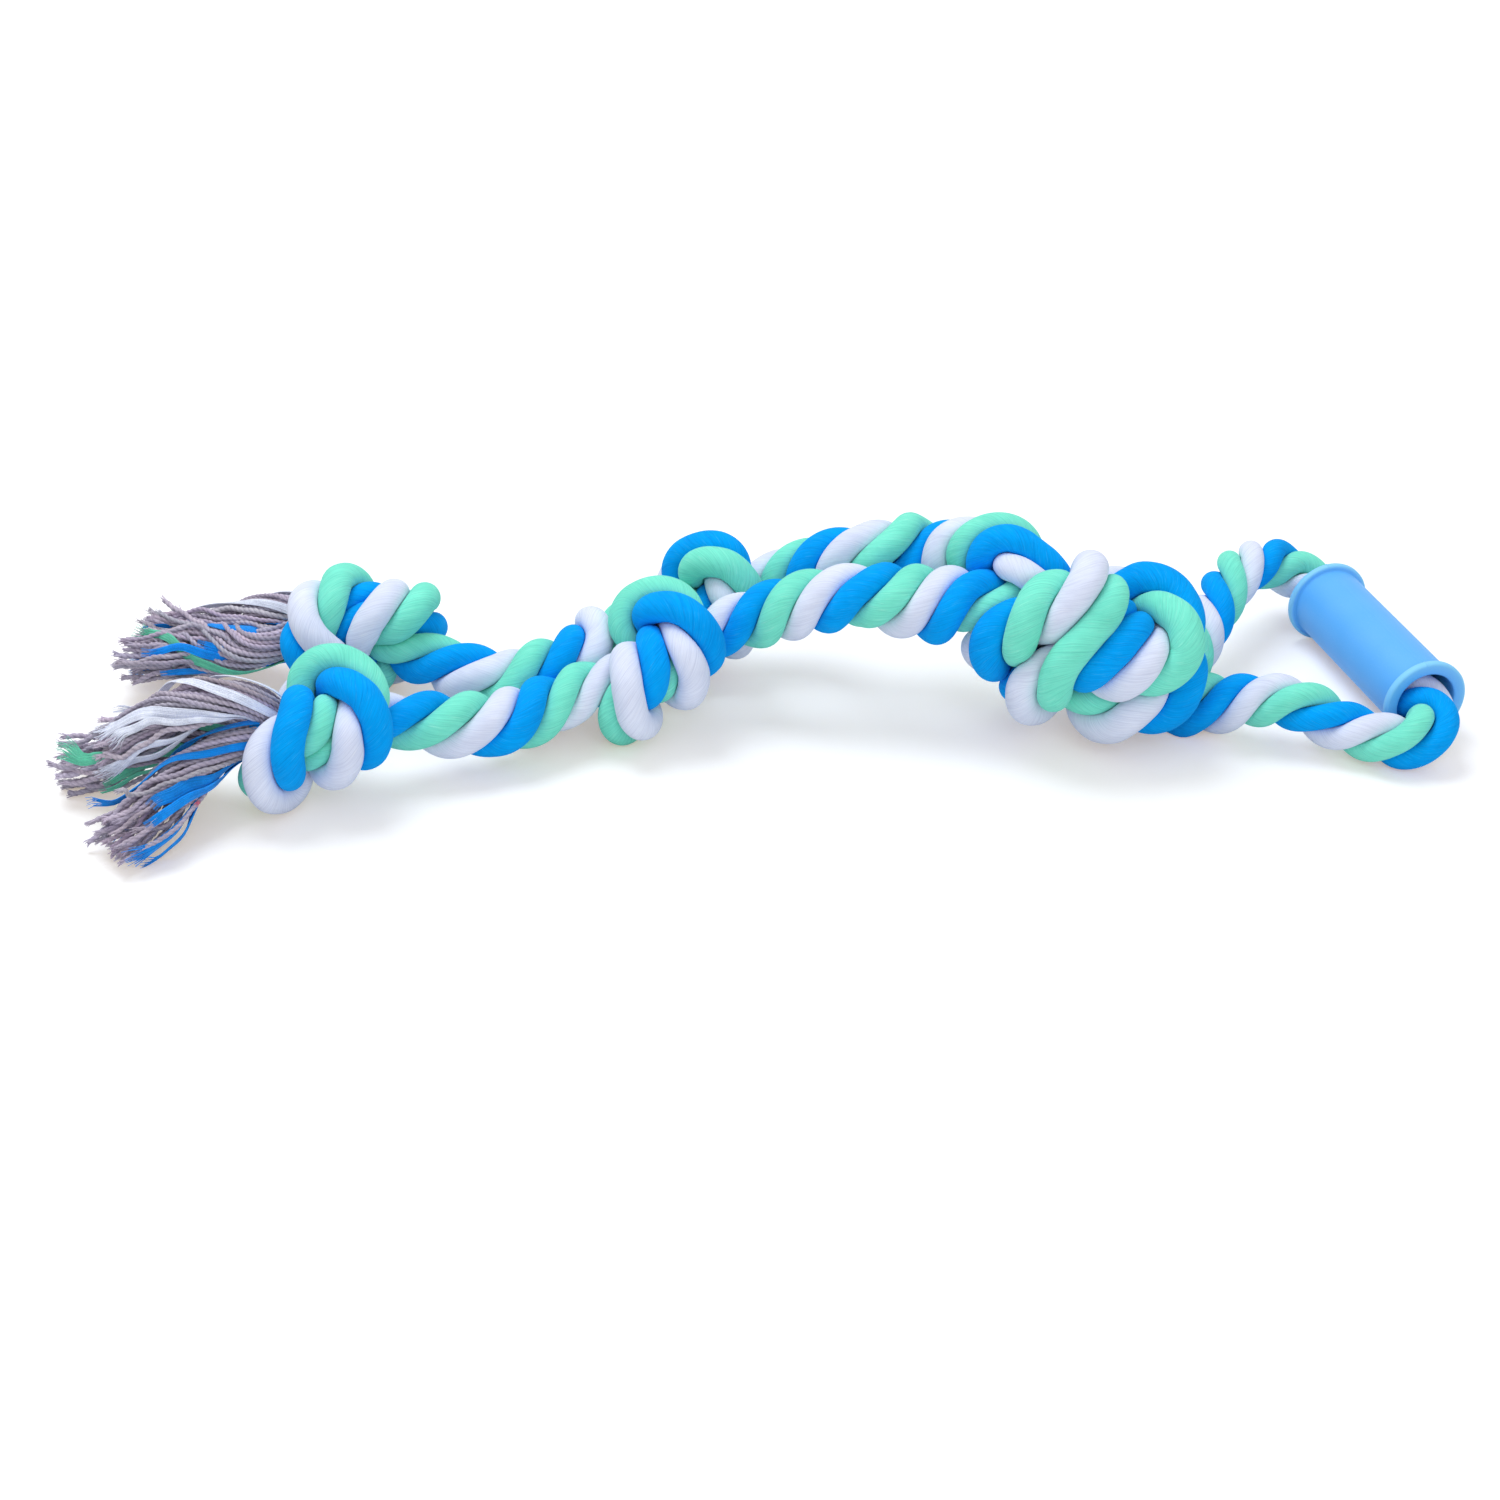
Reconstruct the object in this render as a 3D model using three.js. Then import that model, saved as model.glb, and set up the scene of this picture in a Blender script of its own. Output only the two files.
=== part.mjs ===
// Rope toy: one three-strand rope folded in half through a moulded grip sleeve. Both halves are tied
// together in one big knot, then each half has a middle knot, an end knot and a frayed tassel.
// Millimetres. +X runs along the toy towards the sleeve, +Y from the front leg to the rear leg, +Z up,
// floor at z = 0.

import * as THREE from 'three';

// Rope: three strands laid left-handed round one axis
const strandOffset = 8.75;        // rope axis to strand axis
const layLength = 63;             // rope length that holds one full turn of a strand
const strandClearance = 0.4;      // air between neighbouring strands
const floorShare = 0.8;           // least height of a strand's axis, against its radius
const facetLoss = 0.9;            // what straight stretches between rings take from the strands' distance
const endGap = 0.3;               // air between the end of one piece and the start of the next
const loopShare = 0.84;           // thickness of the stretched rope in the loop, against the legs'
const strandNames = ['blue', 'white', 'mint'];
const startTurnShare = 0.467;     // of a full turn, where the first strand starts

// Further twist of the rope in a knot or the sleeve: where it starts and ends, as shares of that stretch,
// and its share of a full turn
const twistShares = [
  ['rear end', 0, 1, -0.333],
  ['rear mid', 0, 1, -0.1],
  ['big rear', 0, 0.3, 0.15],
  ['big rear', 0, 1, -0.43],
  ['big rear', 0.8, 1, -0.333],
  ['sleeve', 0, 1, 0.333],
  ['big front', 0, 1, -0.15],
  ['big front', 0.7, 1, -0.12],
  ['front mid', 0, 1, -0.39],
  ['front end', 0, 1, -0.333],
];

// Twist that a knot adds on the way in and takes back on the way out
const heldTwistShares = [['rear mid', 0.333]];

// Knots, drawn tight
const singleKnots = ['rear end', 'rear mid', 'front mid', 'front end'];
const bigKnotPasses = ['big rear', 'big front'];
const knotShare = 0.82;           // thickness of the strands in a knot, against the legs'
const bigKnotShare = 0.95;        // the same in the big knot
const coreShare = -0.17;          // what the thickness gains in the core of a knot, against the legs'
const outerShare = 0.25;          // the same on a knot's outside
const openShares = [0.12, 0.5];   // how one-sided a strand's neighbours lie in the core and on the outside
const heartShare = 0.7;           // how far inside a knot its strands start to differ, against the fade
const bigHeartShare = 1.6;
const passShare = 0.62;           // least distance of two passes of the rope, against its own width
const bigPassShare = 0.53;        // the same in the big knot
const looseShares = [0.85, 0.85, 2.2];      // width, height and tail of a loose knot, against that distance
const bigLooseShares = [1.3, 1.4, 2.5];
const swapShares = [0.62, 0.8];   // of the big knot's rope: where its two ropes change sides
const bendShare = 0.6;            // least bend radius of an axis, against the least distance of two passes
const knotTail = 46;              // half of a single knot's stretch, from its middle along the rope
const knotStub = 28;              // the same on the side of the tassel
const bigKnotTail = 58;
const windowFade = 24;            // rope over which a knot's hold on its strands fades out

// Grip sleeve: a tube with a rim at each end
const sleeveLength = 111;
const sleeveBore = 31;
const sleeveWall = 3.5;
const rimRise = 3;
const rimThick = 4;
const boreClearance = 0.6;        // air between the bore and the rope that lies in it
const sleeveOuter = sleeveBore + 2 * sleeveWall;
const rimOuter = sleeveOuter + 2 * rimRise;

// Tassels: each strand frays into one bundle of yarn
const tasselTipWidth = 27;
const tasselBend = 18;            // length over which a bundle keeps the direction of its strand
const tasselFallShare = 0.4;      // of a bundle, its last stretch, which runs straight to the tip
const tasselGap = 0.8;

// Steps of the model
const beadStep = 3.75;            // along the rope, between the points that carry the strands
const beadsPerRing = 2;
const sharpTurn = Math.PI / 6;
const knotSteps = 24;
const knotBeads = 50;
const bigKnotBeads = 60;
const spanSteps = 24;
const strandSides = 6;
const tasselSides = 8;
const tasselRings = 6;
const sleeveSides = 32;
const drawRounds = 3000;
const layRounds = 500;
const easeRounds = 300;
const easePasses = 6;
const ownBeads = 4;               // beads on either side that don't count as a bead's neighbours
const clearRounds = 60;
const fullTurn = 2 * Math.PI;

// Least distance of two strand axes that lie a third of a turn apart
function helixDistance(offset, lay) {
  let least = Infinity;
  for (let step = 0; step <= 200; step += 1) {
    const along = (step / 200) * (lay / 2);
    const angle = fullTurn / 3 - (fullTurn * along) / lay;
    least = Math.min(least, Math.hypot(2 * offset * Math.sin(angle / 2), along));
  }
  return least;
}
const strandApart = helixDistance(strandOffset, layLength);
const strandRadius = (strandApart - strandClearance - facetLoss) / 2;
const ropeWidth = 2 * (strandOffset + strandApart / 2);

// A point that carries a rope or a strand: its place, its share of full thickness, how free it is to move,
// and whether it is drawn straight, as inside a knot, or keeps the curve that it was laid in
function bead(at, size, free, drawn) {
  return { at, home: at.clone(), size, free, drawn, push: new THREE.Vector3() };
}

function stepOf(chain) {
  let length = 0;
  for (let i = 1; i < chain.length; i += 1) length += chain[i].at.distanceTo(chain[i - 1].at);
  return length / (chain.length - 1);
}

// Pairs of beads that may touch, each with the least distance wanted: `apart`, or along one chain the
// chord of the tightest bend that it takes
function nearPairs(chains, apart) {
  const bend = bendShare * apart;
  const reach = 1.6 * apart;
  const steps = chains.map(stepOf);
  const rows = chains.flatMap((chain, k) => chain.map((one, i) => ({ one, k, i })));
  rows.sort((a, b) => a.one.at.x - b.one.at.x);
  const pairs = [];
  for (let m = 0; m < rows.length; m += 1) {
    for (let n = m + 1; n < rows.length && rows[n].one.at.x - rows[m].one.at.x < reach; n += 1) {
      const a = rows[m];
      const b = rows[n];
      const between = Math.abs(a.i - b.i);
      if (a.k === b.k && between < 2) continue;
      if (a.one.at.distanceToSquared(b.one.at) > reach * reach) continue;
      const half = a.k === b.k ? Math.min((between * steps[a.k]) / (2 * bend), Math.PI / 2) : Math.PI / 2;
      pairs.push([a.one, b.one, Math.min(apart, 2 * bend * Math.sin(half))]);
    }
  }
  return pairs;
}

// Draws the chains taut while beads that are too near push each other away and the floor holds them up
function settle(chains, apart, rounds, taut, floor) {
  const beads = chains.flat();
  const gap = new THREE.Vector3();
  const laid = new THREE.Vector3();
  let pairs = [];
  for (let round = 0; round < rounds; round += 1) {
    if (round % 12 === 0) pairs = nearPairs(chains, apart);
    const pull = taut * (1 - round / rounds) + taut / 20;
    for (const chain of chains) {
      for (let i = 1; i < chain.length - 1; i += 1) {
        const { at, home, free, drawn, push } = chain[i];
        laid.copy(chain[i - 1].home).add(chain[i + 1].home).multiplyScalar(-0.5).add(home);
        push.copy(chain[i - 1].at).add(chain[i + 1].at).multiplyScalar(0.5).sub(at);
        push.addScaledVector(laid, 1 - drawn).multiplyScalar(pull * free);
      }
    }
    for (const one of beads) one.at.add(one.push);
    for (let pass = 0; pass < 4; pass += 1) {
      for (const one of beads) one.push.set(0, 0, 0);
      for (const [a, b, least] of pairs) {
        gap.copy(a.at).sub(b.at);
        const distance = gap.length();
        const wanted = (least * (a.size + b.size)) / 2;
        const freedom = a.free + b.free;
        if (distance >= wanted || freedom === 0) continue;
        gap.multiplyScalar((wanted - distance) / distance / freedom / 2);
        a.push.addScaledVector(gap, a.free);
        b.push.addScaledVector(gap, -b.free);
      }
      for (const one of beads) {
        one.at.add(one.push);
        one.push.set(0, 0, 0);
        if (one.free > 0) one.at.z = Math.max(one.at.z, floor * one.size);
      }
    }
  }
}

// An overhand knot, loose and as a unit shape: three crossings, with both ends led off along x
function looseKnot(wide, high, tail, hand, count) {
  const opening = Math.PI - 0.62;
  const lead = [
    [-tail - 2 * wide, -3.2 * wide],
    [-tail, -3.2 * wide],
    [-3.2 * wide, -3 * wide],
    [-1.9 * wide, -2.65 * wide],
  ];
  const points = lead.map(([x, y]) => new THREE.Vector3(x, y, 0));
  for (let i = 0; i <= knotSteps; i += 1) {
    const t = opening - (2 * opening * i) / knotSteps;
    const x = wide * (Math.sin(t) + 2 * Math.sin(2 * t));
    const y = wide * (Math.cos(t) - 2 * Math.cos(2 * t));
    points.push(new THREE.Vector3(x, y, -hand * high * Math.sin(3 * t)));
  }
  for (const [x, y] of lead.reverse()) points.push(new THREE.Vector3(-x, y, 0));
  const curve = new THREE.CatmullRomCurve3(points, false, 'centripetal');
  return curve.getSpacedPoints(count - 1).map((p) => p.setY(p.y + 3.2 * wide));
}

// The same knot drawn tight with one rope, or with two ropes side by side
function tightKnot(ropes, hand) {
  const pass = ropeWidth * (ropes === 1 ? passShare : bigPassShare);
  const [wideShare, highShare, tailShare] = ropes === 1 ? looseShares : bigLooseShares;
  const beads = ropes === 1 ? knotBeads : bigKnotBeads;
  const shape = looseKnot(wideShare * pass, highShare * pass, tailShare * pass, hand, beads);
  const chains = [];
  for (let k = 0; k < ropes; k += 1) {
    const aside = (k - (ropes - 1) / 2) * pass;
    chains.push(shape.map((point, i) => {
      const last = shape.length - 1;
      const along = shape[Math.min(i + 1, last)].clone().sub(shape[Math.max(i - 1, 0)]);
      const side = new THREE.Vector3(-along.y, along.x, 0).normalize();
      const swap = (fullTurn / 2) * THREE.MathUtils.smoothstep(i / last, ...swapShares);
      const at = point.clone().addScaledVector(side, aside * Math.cos(swap));
      at.z -= aside * Math.sin(swap);
      return bead(at, 1, i === 0 || i === last ? 0 : 1, 1);
    }));
  }
  settle(chains, pass, drawRounds, 0.8, -Infinity);
  return chains.map((chain) => chain.map((one) => one.at));
}

// Puts a knot's points in place: x along the rope, turned by roll about it, then pitched and headed
function placedKnot(points, { at, yaw, pitch, roll }, before, after) {
  const first = points.findIndex((p) => p.x > -before);
  const last = points.length - 1 - [...points].reverse().findIndex((p) => p.x < after);
  const body = new THREE.Box3().setFromPoints(points.filter((p) => Math.abs(p.x) < ropeWidth));
  const centre = body.getCenter(new THREE.Vector3()).setX(0);
  const rad = THREE.MathUtils.degToRad;
  const turn = new THREE.Quaternion().setFromEuler(new THREE.Euler(rad(roll), -rad(pitch), rad(yaw), 'ZYX'));
  const origin = new THREE.Vector3(...at);
  return points.slice(first, last + 1).map((p) => p.clone().sub(centre).applyQuaternion(turn).add(origin));
}

const singleKnot = tightKnot(1, 1)[0];
const bigKnot = tightKnot(2, 1);
const bigPlace = { at: [163, -7, 54], yaw: 0, pitch: -45, roll: 195 };
const rearEndPlace = { at: [-197, 26, 37], yaw: -10, pitch: -8, roll: 90 };
const rearMidPlace = { at: [-31, 52, 36], yaw: 20, pitch: 10, roll: 180 };
const frontMidPlace = { at: [-51, -3, 39], yaw: 25, pitch: 15, roll: 180 };
const frontEndPlace = { at: [-210, -70, 38], yaw: 20, pitch: 0, roll: 180 };

// Place of the sleeve: its axis lies level and its rims rest on the floor
const nearRim = new THREE.Vector3(337, -16, rimOuter / 2);
const sleeveDirection = new THREE.Vector3(-0.28, 0.96, 0).normalize();
const farRim = nearRim.clone().addScaledVector(sleeveDirection, sleeveLength);
const loopRadius = (strandOffset + strandRadius) * loopShare;
const boreFlat = (sleeveBore / 2) * Math.cos(Math.PI / sleeveSides);
function inSleeve(share) {
  const at = nearRim.clone().addScaledVector(sleeveDirection, share * sleeveLength);
  return at.setZ(at.z - (boreFlat - loopRadius - boreClearance));
}

// Route of the rope, from the rear tassel to the front tassel
const route = [];
const marks = {};
function lead(...points) {
  for (const [x, y, z] of points) route.push(new THREE.Vector3(x, y, z));
}
function leadBy(rim, ...points) {
  for (const [x, y, z] of points) route.push(new THREE.Vector3(x, y, z).add(rim));
}
function mark(name) {
  marks[name] = route.length - 1;
}
function tie(name, points) {
  marks[`${name} in`] = route.length;
  route.push(...points);
  marks[`${name} out`] = route.length - 1;
}
tie('rear end', placedKnot(singleKnot, rearEndPlace, knotStub, knotTail));
lead([-125, -1, 24]);
mark('rear section');
lead([-80, 14, 30]);
tie('rear mid', placedKnot(singleKnot, rearMidPlace, knotTail, knotTail));
lead([60, 43, 74]);
mark('rear arch');
lead([92, 43, 70]);
tie('big rear', placedKnot(bigKnot[0], bigPlace, knotTail, bigKnotTail));
leadBy(nearRim, [-75, -2, 5], [-42, -14, -5], [-15, -25, -6], [-1, -20, -3]);
route.push(inSleeve(0));
mark('sleeve in');
route.push(inSleeve(0.1), inSleeve(0.5), inSleeve(0.9), inSleeve(1));
mark('sleeve out');
leadBy(farRim, [-13, 20.5, 5], [-30, 17.5, 11], [-47, -0.5, 16]);
tie('big front', placedKnot(bigKnot[1], bigPlace, knotTail, bigKnotTail).reverse());
lead([88, 2, 68], [54, 6, 71]);
mark('front arch');
tie('front mid', placedKnot(singleKnot, frontMidPlace, knotTail, knotTail).reverse());
lead([-124, -41, 25]);
mark('front section');
tie('front end', placedKnot(singleKnot, frontEndPlace, knotStub, knotTail).reverse());

// Beads along the route, at one even step, with the bead that stands at each mark
const curve = new THREE.CatmullRomCurve3(route, false, 'centripetal');
curve.arcLengthDivisions = spanSteps * (route.length - 1);
const arcs = curve.getLengths();
const beadCount = Math.round(curve.getLength() / beadStep) + 1;
function beadAt(name) {
  const share = arcs[spanSteps * marks[name]] / curve.getLength();
  return Math.round((share * (beadCount - 1)) / beadsPerRing) * beadsPerRing;
}
const lastBead = beadCount - 1 - ((beadCount - 1) % beadsPerRing);
const axisPoints = curve.getSpacedPoints(beadCount - 1);

const hinges = ['rear section', 'rear arch', 'front arch', 'front section'];

// Share of a stretch at a bead, rising from 0 to 1
function smooth(from, to, value) {
  return THREE.MathUtils.smoothstep(value, Math.min(from, to), Math.max(from, to));
}

// Share of a bead that lies between two marks, or in one of the named knots, with soft ends
const fade = windowFade / beadStep;
function within(from, to, inset, i) {
  const into = beadAt(from) + inset;
  const out = beadAt(to) - inset;
  return smooth(into - fade, into + fade, i) * (1 - smooth(out - fade, out + fade, i));
}
function heldIn(knots, inset, i) {
  return Math.max(...knots.map((name) => within(`${name} in`, `${name} out`, inset, i)));
}

// How far a bead is drawn into a knot, and how far into the heart of one
function drawnAt(i) {
  return heldIn([...singleKnots, ...bigKnotPasses], 0, i);
}
function heartAt(i) {
  return Math.max(heldIn(singleKnots, heartShare * fade, i), heldIn(bigKnotPasses, bigHeartShare * fade, i));
}

// Share of full thickness at a bead
function sizeAt(i) {
  const inLoop = within('big rear out', 'big front in', 0, i);
  const inKnot = (1 - knotShare) * heldIn(singleKnots, 0, i);
  const inBigKnot = (1 - bigKnotShare) * heldIn(bigKnotPasses, 0, i);
  return 1 - (1 - loopShare) * inLoop - (inKnot + inBigKnot) * (1 - inLoop);
}

// Where the first strand lies round the rope, as an angle
function turnAt(i) {
  let twist = (i * beadStep) / layLength;
  for (const [name, from, to, share] of twistShares) {
    const first = beadAt(`${name} in`);
    const length = beadAt(`${name} out`) - first;
    twist += share * smooth(first + from * length, first + to * length, i);
  }
  for (const [name, share] of heldTwistShares) {
    twist += share * within(`${name} in`, `${name} out`, fade, i);
  }
  return (startTurnShare - twist) * fullTurn;
}

// How free a bead is to move
function freeAt(i) {
  let free = 1;
  for (const name of hinges) {
    free = Math.min(free, smooth(0, fade, Math.abs(i - beadAt(name))));
  }
  const held = smooth(beadAt('sleeve in') - fade / 4, beadAt('sleeve in') + fade / 2, i)
    * (1 - smooth(beadAt('sleeve out') - fade / 2, beadAt('sleeve out') + fade / 4, i));
  return Math.min(free, 1 - held);
}

// Strands: laid round the route with frames that carry no twist of their own, then settled
const strands = strandNames.map(() => []);
const tangents = axisPoints.map((point, i) => {
  const next = axisPoints[Math.min(i + 1, beadCount - 1)];
  return next.clone().sub(axisPoints[Math.max(i - 1, 0)]).normalize();
});
let normal = new THREE.Vector3(0, 0, 1);
for (let i = 0; i < beadCount; i += 1) {
  normal.addScaledVector(tangents[i], -normal.dot(tangents[i])).normalize();
  const side = new THREE.Vector3().crossVectors(tangents[i], normal);
  const size = sizeAt(i);
  const turn = turnAt(i);
  strands.forEach((strand, k) => {
    const angle = turn + (fullTurn * k) / strandNames.length;
    const at = axisPoints[i].clone().addScaledVector(normal, strandOffset * size * Math.cos(angle));
    at.addScaledVector(side, strandOffset * size * Math.sin(angle));
    strand.push(bead(at, size, freeAt(i), drawnAt(i)));
  });
}
settle(strands, strandApart, layRounds, 0.8, floorShare * strandRadius);

// How open each bead lies: 0 in the core of a knot, 1 on its outside
function opennessOf(chains, reach) {
  const pull = new THREE.Vector3();
  const away = new THREE.Vector3();
  let shares = chains.map((chain, k) => chain.map((one, i) => {
    let weights = 0;
    pull.set(0, 0, 0);
    chains.forEach((others, m) => others.forEach((other, n) => {
      if (m === k && Math.abs(n - i) <= ownBeads) return;
      const distance = other.at.distanceTo(one.at);
      if (distance >= reach) return;
      const weight = 1 - distance / reach;
      pull.addScaledVector(away.copy(other.at).sub(one.at), weight / distance);
      weights += weight;
    }));
    return weights > 0 ? smooth(...openShares, pull.length() / weights) : 0;
  }));
  for (let pass = 0; pass < easePasses; pass += 1) {
    shares = shares.map((own) => own.map((share, i) => {
      const atEnd = i === 0 || i === own.length - 1;
      return atEnd ? share : (own[i - 1] + 2 * share + own[i + 1]) / 4;
    }));
  }
  return shares;
}

// The strands swell on the outside of a knot and thin in its core, then settle once more
const openness = opennessOf(strands, 2 * strandApart);
strands.forEach((strand, k) => strand.forEach((one, i) => {
  const gain = THREE.MathUtils.lerp(coreShare, outerShare, openness[k][i]);
  one.size += gain * heartAt(i);
  one.home.copy(one.at);
}));
settle(strands, strandApart, easeRounds, 0.5, floorShare * strandRadius);

// Rings of the model: every second bead, every bead in a sharp bend, and each bead where a piece is cut
const cutBeads = new Set([0, ...Object.keys(marks).map(beadAt), lastBead]);
function ringsOf(strand) {
  const rings = [];
  let last = 0;
  let turned = 0;
  strand.forEach((one, i) => {
    if (i > 0 && i < lastBead) {
      const into = one.at.clone().sub(strand[i - 1].at);
      turned += into.angleTo(strand[i + 1].at.clone().sub(one.at));
    }
    if (i > lastBead || !(cutBeads.has(i) || i - last >= beadsPerRing || turned > sharpTurn)) return;
    rings.push({ bead: i, ...one, at: one.at.clone() });
    last = i;
    turned = 0;
  });
  return rings;
}

// Nearest points of the stretches a to b and c to d, as shares along them, and the way from one to the other
function nearest(a, b, c, d) {
  const u = b.clone().sub(a);
  const v = d.clone().sub(c);
  const w = a.clone().sub(c);
  const wide = u.lengthSq() * v.lengthSq() - u.dot(v) ** 2;
  let s = wide > 0 ? THREE.MathUtils.clamp((u.dot(v) * v.dot(w) - v.lengthSq() * u.dot(w)) / wide, 0, 1) : 0;
  const t = THREE.MathUtils.clamp((u.dot(v) * s + v.dot(w)) / v.lengthSq(), 0, 1);
  s = THREE.MathUtils.clamp((u.dot(v) * t - u.dot(w)) / u.lengthSq(), 0, 1);
  return { s, t, gap: w.addScaledVector(u, s).addScaledVector(v, -t) };
}

// Stretches between rings that may touch
function nearStretches(chains, reach, along) {
  const rows = chains.flatMap((chain, k) => chain.slice(0, -1).map((a, i) => ({ k, a, b: chain[i + 1] })));
  rows.sort((p, q) => p.a.at.x - q.a.at.x);
  const found = [];
  for (let m = 0; m < rows.length; m += 1) {
    for (let n = m + 1; n < rows.length && rows[n].a.at.x - rows[m].a.at.x < reach; n += 1) {
      if (rows[m].k === rows[n].k && Math.abs(rows[m].a.bead - rows[n].a.bead) < along) continue;
      if (rows[m].a.at.distanceTo(rows[n].a.at) < reach) found.push([rows[m], rows[n]]);
    }
  }
  return found;
}

// Moves rings until no two stretches are nearer than their thickness and the clearance
const rings = strands.map(ringsOf);
const alongBeads = Math.ceil((2.6 * strandApart) / stepOf(strands[0]));
let leastGap = Infinity;
for (let round = 0; round <= clearRounds; round += 1) {
  leastGap = Infinity;
  for (const [p, q] of nearStretches(rings, 2.2 * strandApart, alongBeads)) {
    const { s, t, gap } = nearest(p.a.at, p.b.at, q.a.at, q.b.at);
    const air = gap.length() - strandRadius * (p.a.size + q.a.size);
    leastGap = Math.min(leastGap, air);
    if (air > strandClearance) continue;
    gap.setLength((strandClearance * 1.1 - air) / 2);
    const moves = [[p.a, 1 - s], [p.b, s], [q.a, t - 1], [q.b, -t]];
    for (const [one, share] of moves) one.at.addScaledVector(gap, share * one.free);
  }
}
console.log(`least gap between strands ${leastGap.toFixed(2)} mm, rope ${curve.getLength().toFixed(0)} mm`);

// Closed tube through rings of equal sides, its ends cut square to the rope
function tube(centres, radii, sides, firstCut, lastCut) {
  const count = centres.length;
  const vertices = [];
  let across = new THREE.Vector3(0, 0, 1);
  centres.forEach((centre, i) => {
    const along = centres[Math.min(i + 1, count - 1)].clone().sub(centres[Math.max(i - 1, 0)]).normalize();
    if (i === 0 && Math.abs(along.z) > 0.9) across.set(0, 1, 0);
    across.addScaledVector(along, -across.dot(along)).normalize();
    const up = new THREE.Vector3().crossVectors(along, across);
    for (let k = 0; k < sides; k += 1) {
      const angle = (fullTurn * k) / sides;
      const point = centre.clone().addScaledVector(across, radii[i] * Math.cos(angle));
      point.addScaledVector(up, radii[i] * Math.sin(angle));
      const cut = i === 0 ? firstCut : i === count - 1 ? lastCut : null;
      if (cut) point.addScaledVector(along, -cut.distanceToPoint(point) / cut.normal.dot(along));
      point.z = Math.max(point.z, 0);
      vertices.push(point.x, point.y, point.z);
    }
  });
  const faces = [];
  for (let i = 0; i + 1 < count; i += 1) {
    for (let k = 0; k < sides; k += 1) {
      const a = i * sides + k;
      const b = i * sides + ((k + 1) % sides);
      faces.push(a, b, b + sides, a, b + sides, a + sides);
    }
  }
  const end = (count - 1) * sides;
  for (let k = 1; k + 1 < sides; k += 1) {
    faces.push(0, k + 1, k);
    faces.push(end, end + k, end + k + 1);
  }
  const geometry = new THREE.BufferGeometry();
  geometry.setAttribute('position', new THREE.Float32BufferAttribute(vertices, 3));
  geometry.setIndex(faces);
  return geometry;
}

// Materials
const colours = { blue: 0x0288e6, mint: 0x78dfb4, white: 0xd8dcf2, grey: 0x9c94aa };
function cotton(name) {
  return new THREE.MeshStandardMaterial({ color: colours[name], roughness: 0.85, metalness: 0 });
}

const toy = new THREE.Group();
function add(name, geometry, material) {
  const mesh = new THREE.Mesh(geometry, material);
  mesh.name = name;
  toy.add(mesh);
  return mesh;
}

// Pieces of the rope, cut at the hinges and at the big knot and the sleeve
const pieces = [
  ['rear_end', 0, 'rear section'],
  ['rear_mid', 'rear section', 'rear arch'],
  ['rear_arch', 'rear arch', 'big rear in'],
  ['knot_rear', 'big rear in', 'big rear out'],
  ['near_arm', 'big rear out', 'sleeve in'],
  ['grip_core', 'sleeve in', 'sleeve out'],
  ['far_arm', 'sleeve out', 'big front in'],
  ['knot_front', 'big front in', 'big front out'],
  ['front_arch', 'big front out', 'front arch'],
  ['front_mid', 'front arch', 'front section'],
  ['front_end', 'front section', 1],
];
function beadOf(place) {
  return typeof place === 'string' ? beadAt(place) : place * lastBead;
}
function cutAt(strand, i, place, shift) {
  const before = strand[Math.max(i - beadsPerRing, 0)].at;
  const after = strand[Math.min(i + beadsPerRing, lastBead)].at;
  const hinged = hinges.includes(place);
  const square = (hinged ? tangents[i].clone().setZ(0) : after.clone().sub(before)).normalize();
  const own = rings[strands.indexOf(strand)];
  const through = hinged ? axisPoints[i] : own.find((one) => one.bead === i).at;
  const point = through.clone().addScaledVector(square, shift);
  return new THREE.Plane().setFromNormalAndCoplanarPoint(square, point);
}
for (const [name, from, to] of pieces) {
  const first = beadOf(from);
  const last = beadOf(to);
  strands.forEach((strand, k) => {
    const own = rings[k].filter((one) => one.bead >= first && one.bead <= last);
    const radii = own.map((one) => strandRadius * one.size);
    const cuts = [cutAt(strand, first, from, endGap / 2), cutAt(strand, last, to, -endGap / 2)];
    const geometry = tube(own.map((one) => one.at), radii, strandSides, ...cuts);
    add(`${name}_${strandNames[k]}`, geometry, cotton(strandNames[k]));
  });
}

// Tassels: each strand frays into one bundle that spreads to its cut tips
const tasselTips = {
  front: { blue: [-296, -134, 13], mint: [-332, -72, 14], white: [-308, -84, 40] },
  rear: { blue: [-322, 30, 13], mint: [-314, 44, 32], white: [-316, 64, 14] },
};
for (const [side, end, inner] of [['rear', 0, 1], ['front', -1, -2]]) {
  const bundles = strandNames.map((colour, k) => {
    const root = rings[k].at(end);
    const out = root.at.clone().sub(rings[k].at(inner).at).normalize();
    const start = root.at.clone().addScaledVector(out, endGap);
    const tip = new THREE.Vector3(...tasselTips[side][colour]);
    const leave = start.clone().addScaledVector(out, tasselBend);
    const fall = tip.clone().lerp(start, tasselFallShare);
    const path = new THREE.CubicBezierCurve3(start, leave, fall, tip);
    return { colour, start, out, path, thick: strandRadius * root.size };
  });
  for (const { colour, start, out, path, thick } of bundles) {
    const rest = bundles.filter((one) => one.path !== path);
    const others = rest.flatMap((one) => one.path.getSpacedPoints(10 * tasselRings));
    const centres = path.getSpacedPoints(tasselRings);
    const radii = centres.map((centre, i) => {
      const full = THREE.MathUtils.lerp(thick, tasselTipWidth / 2, i / tasselRings);
      const room = Math.min(...others.map((other) => other.distanceTo(centre))) / 2;
      return Math.min(full, room - tasselGap);
    });
    const cut = new THREE.Plane().setFromNormalAndCoplanarPoint(out, start);
    add(`${side}_tassel_${colour}`, tube(centres, radii, tasselSides, cut, null), cotton('grey'));
  }
}

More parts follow.
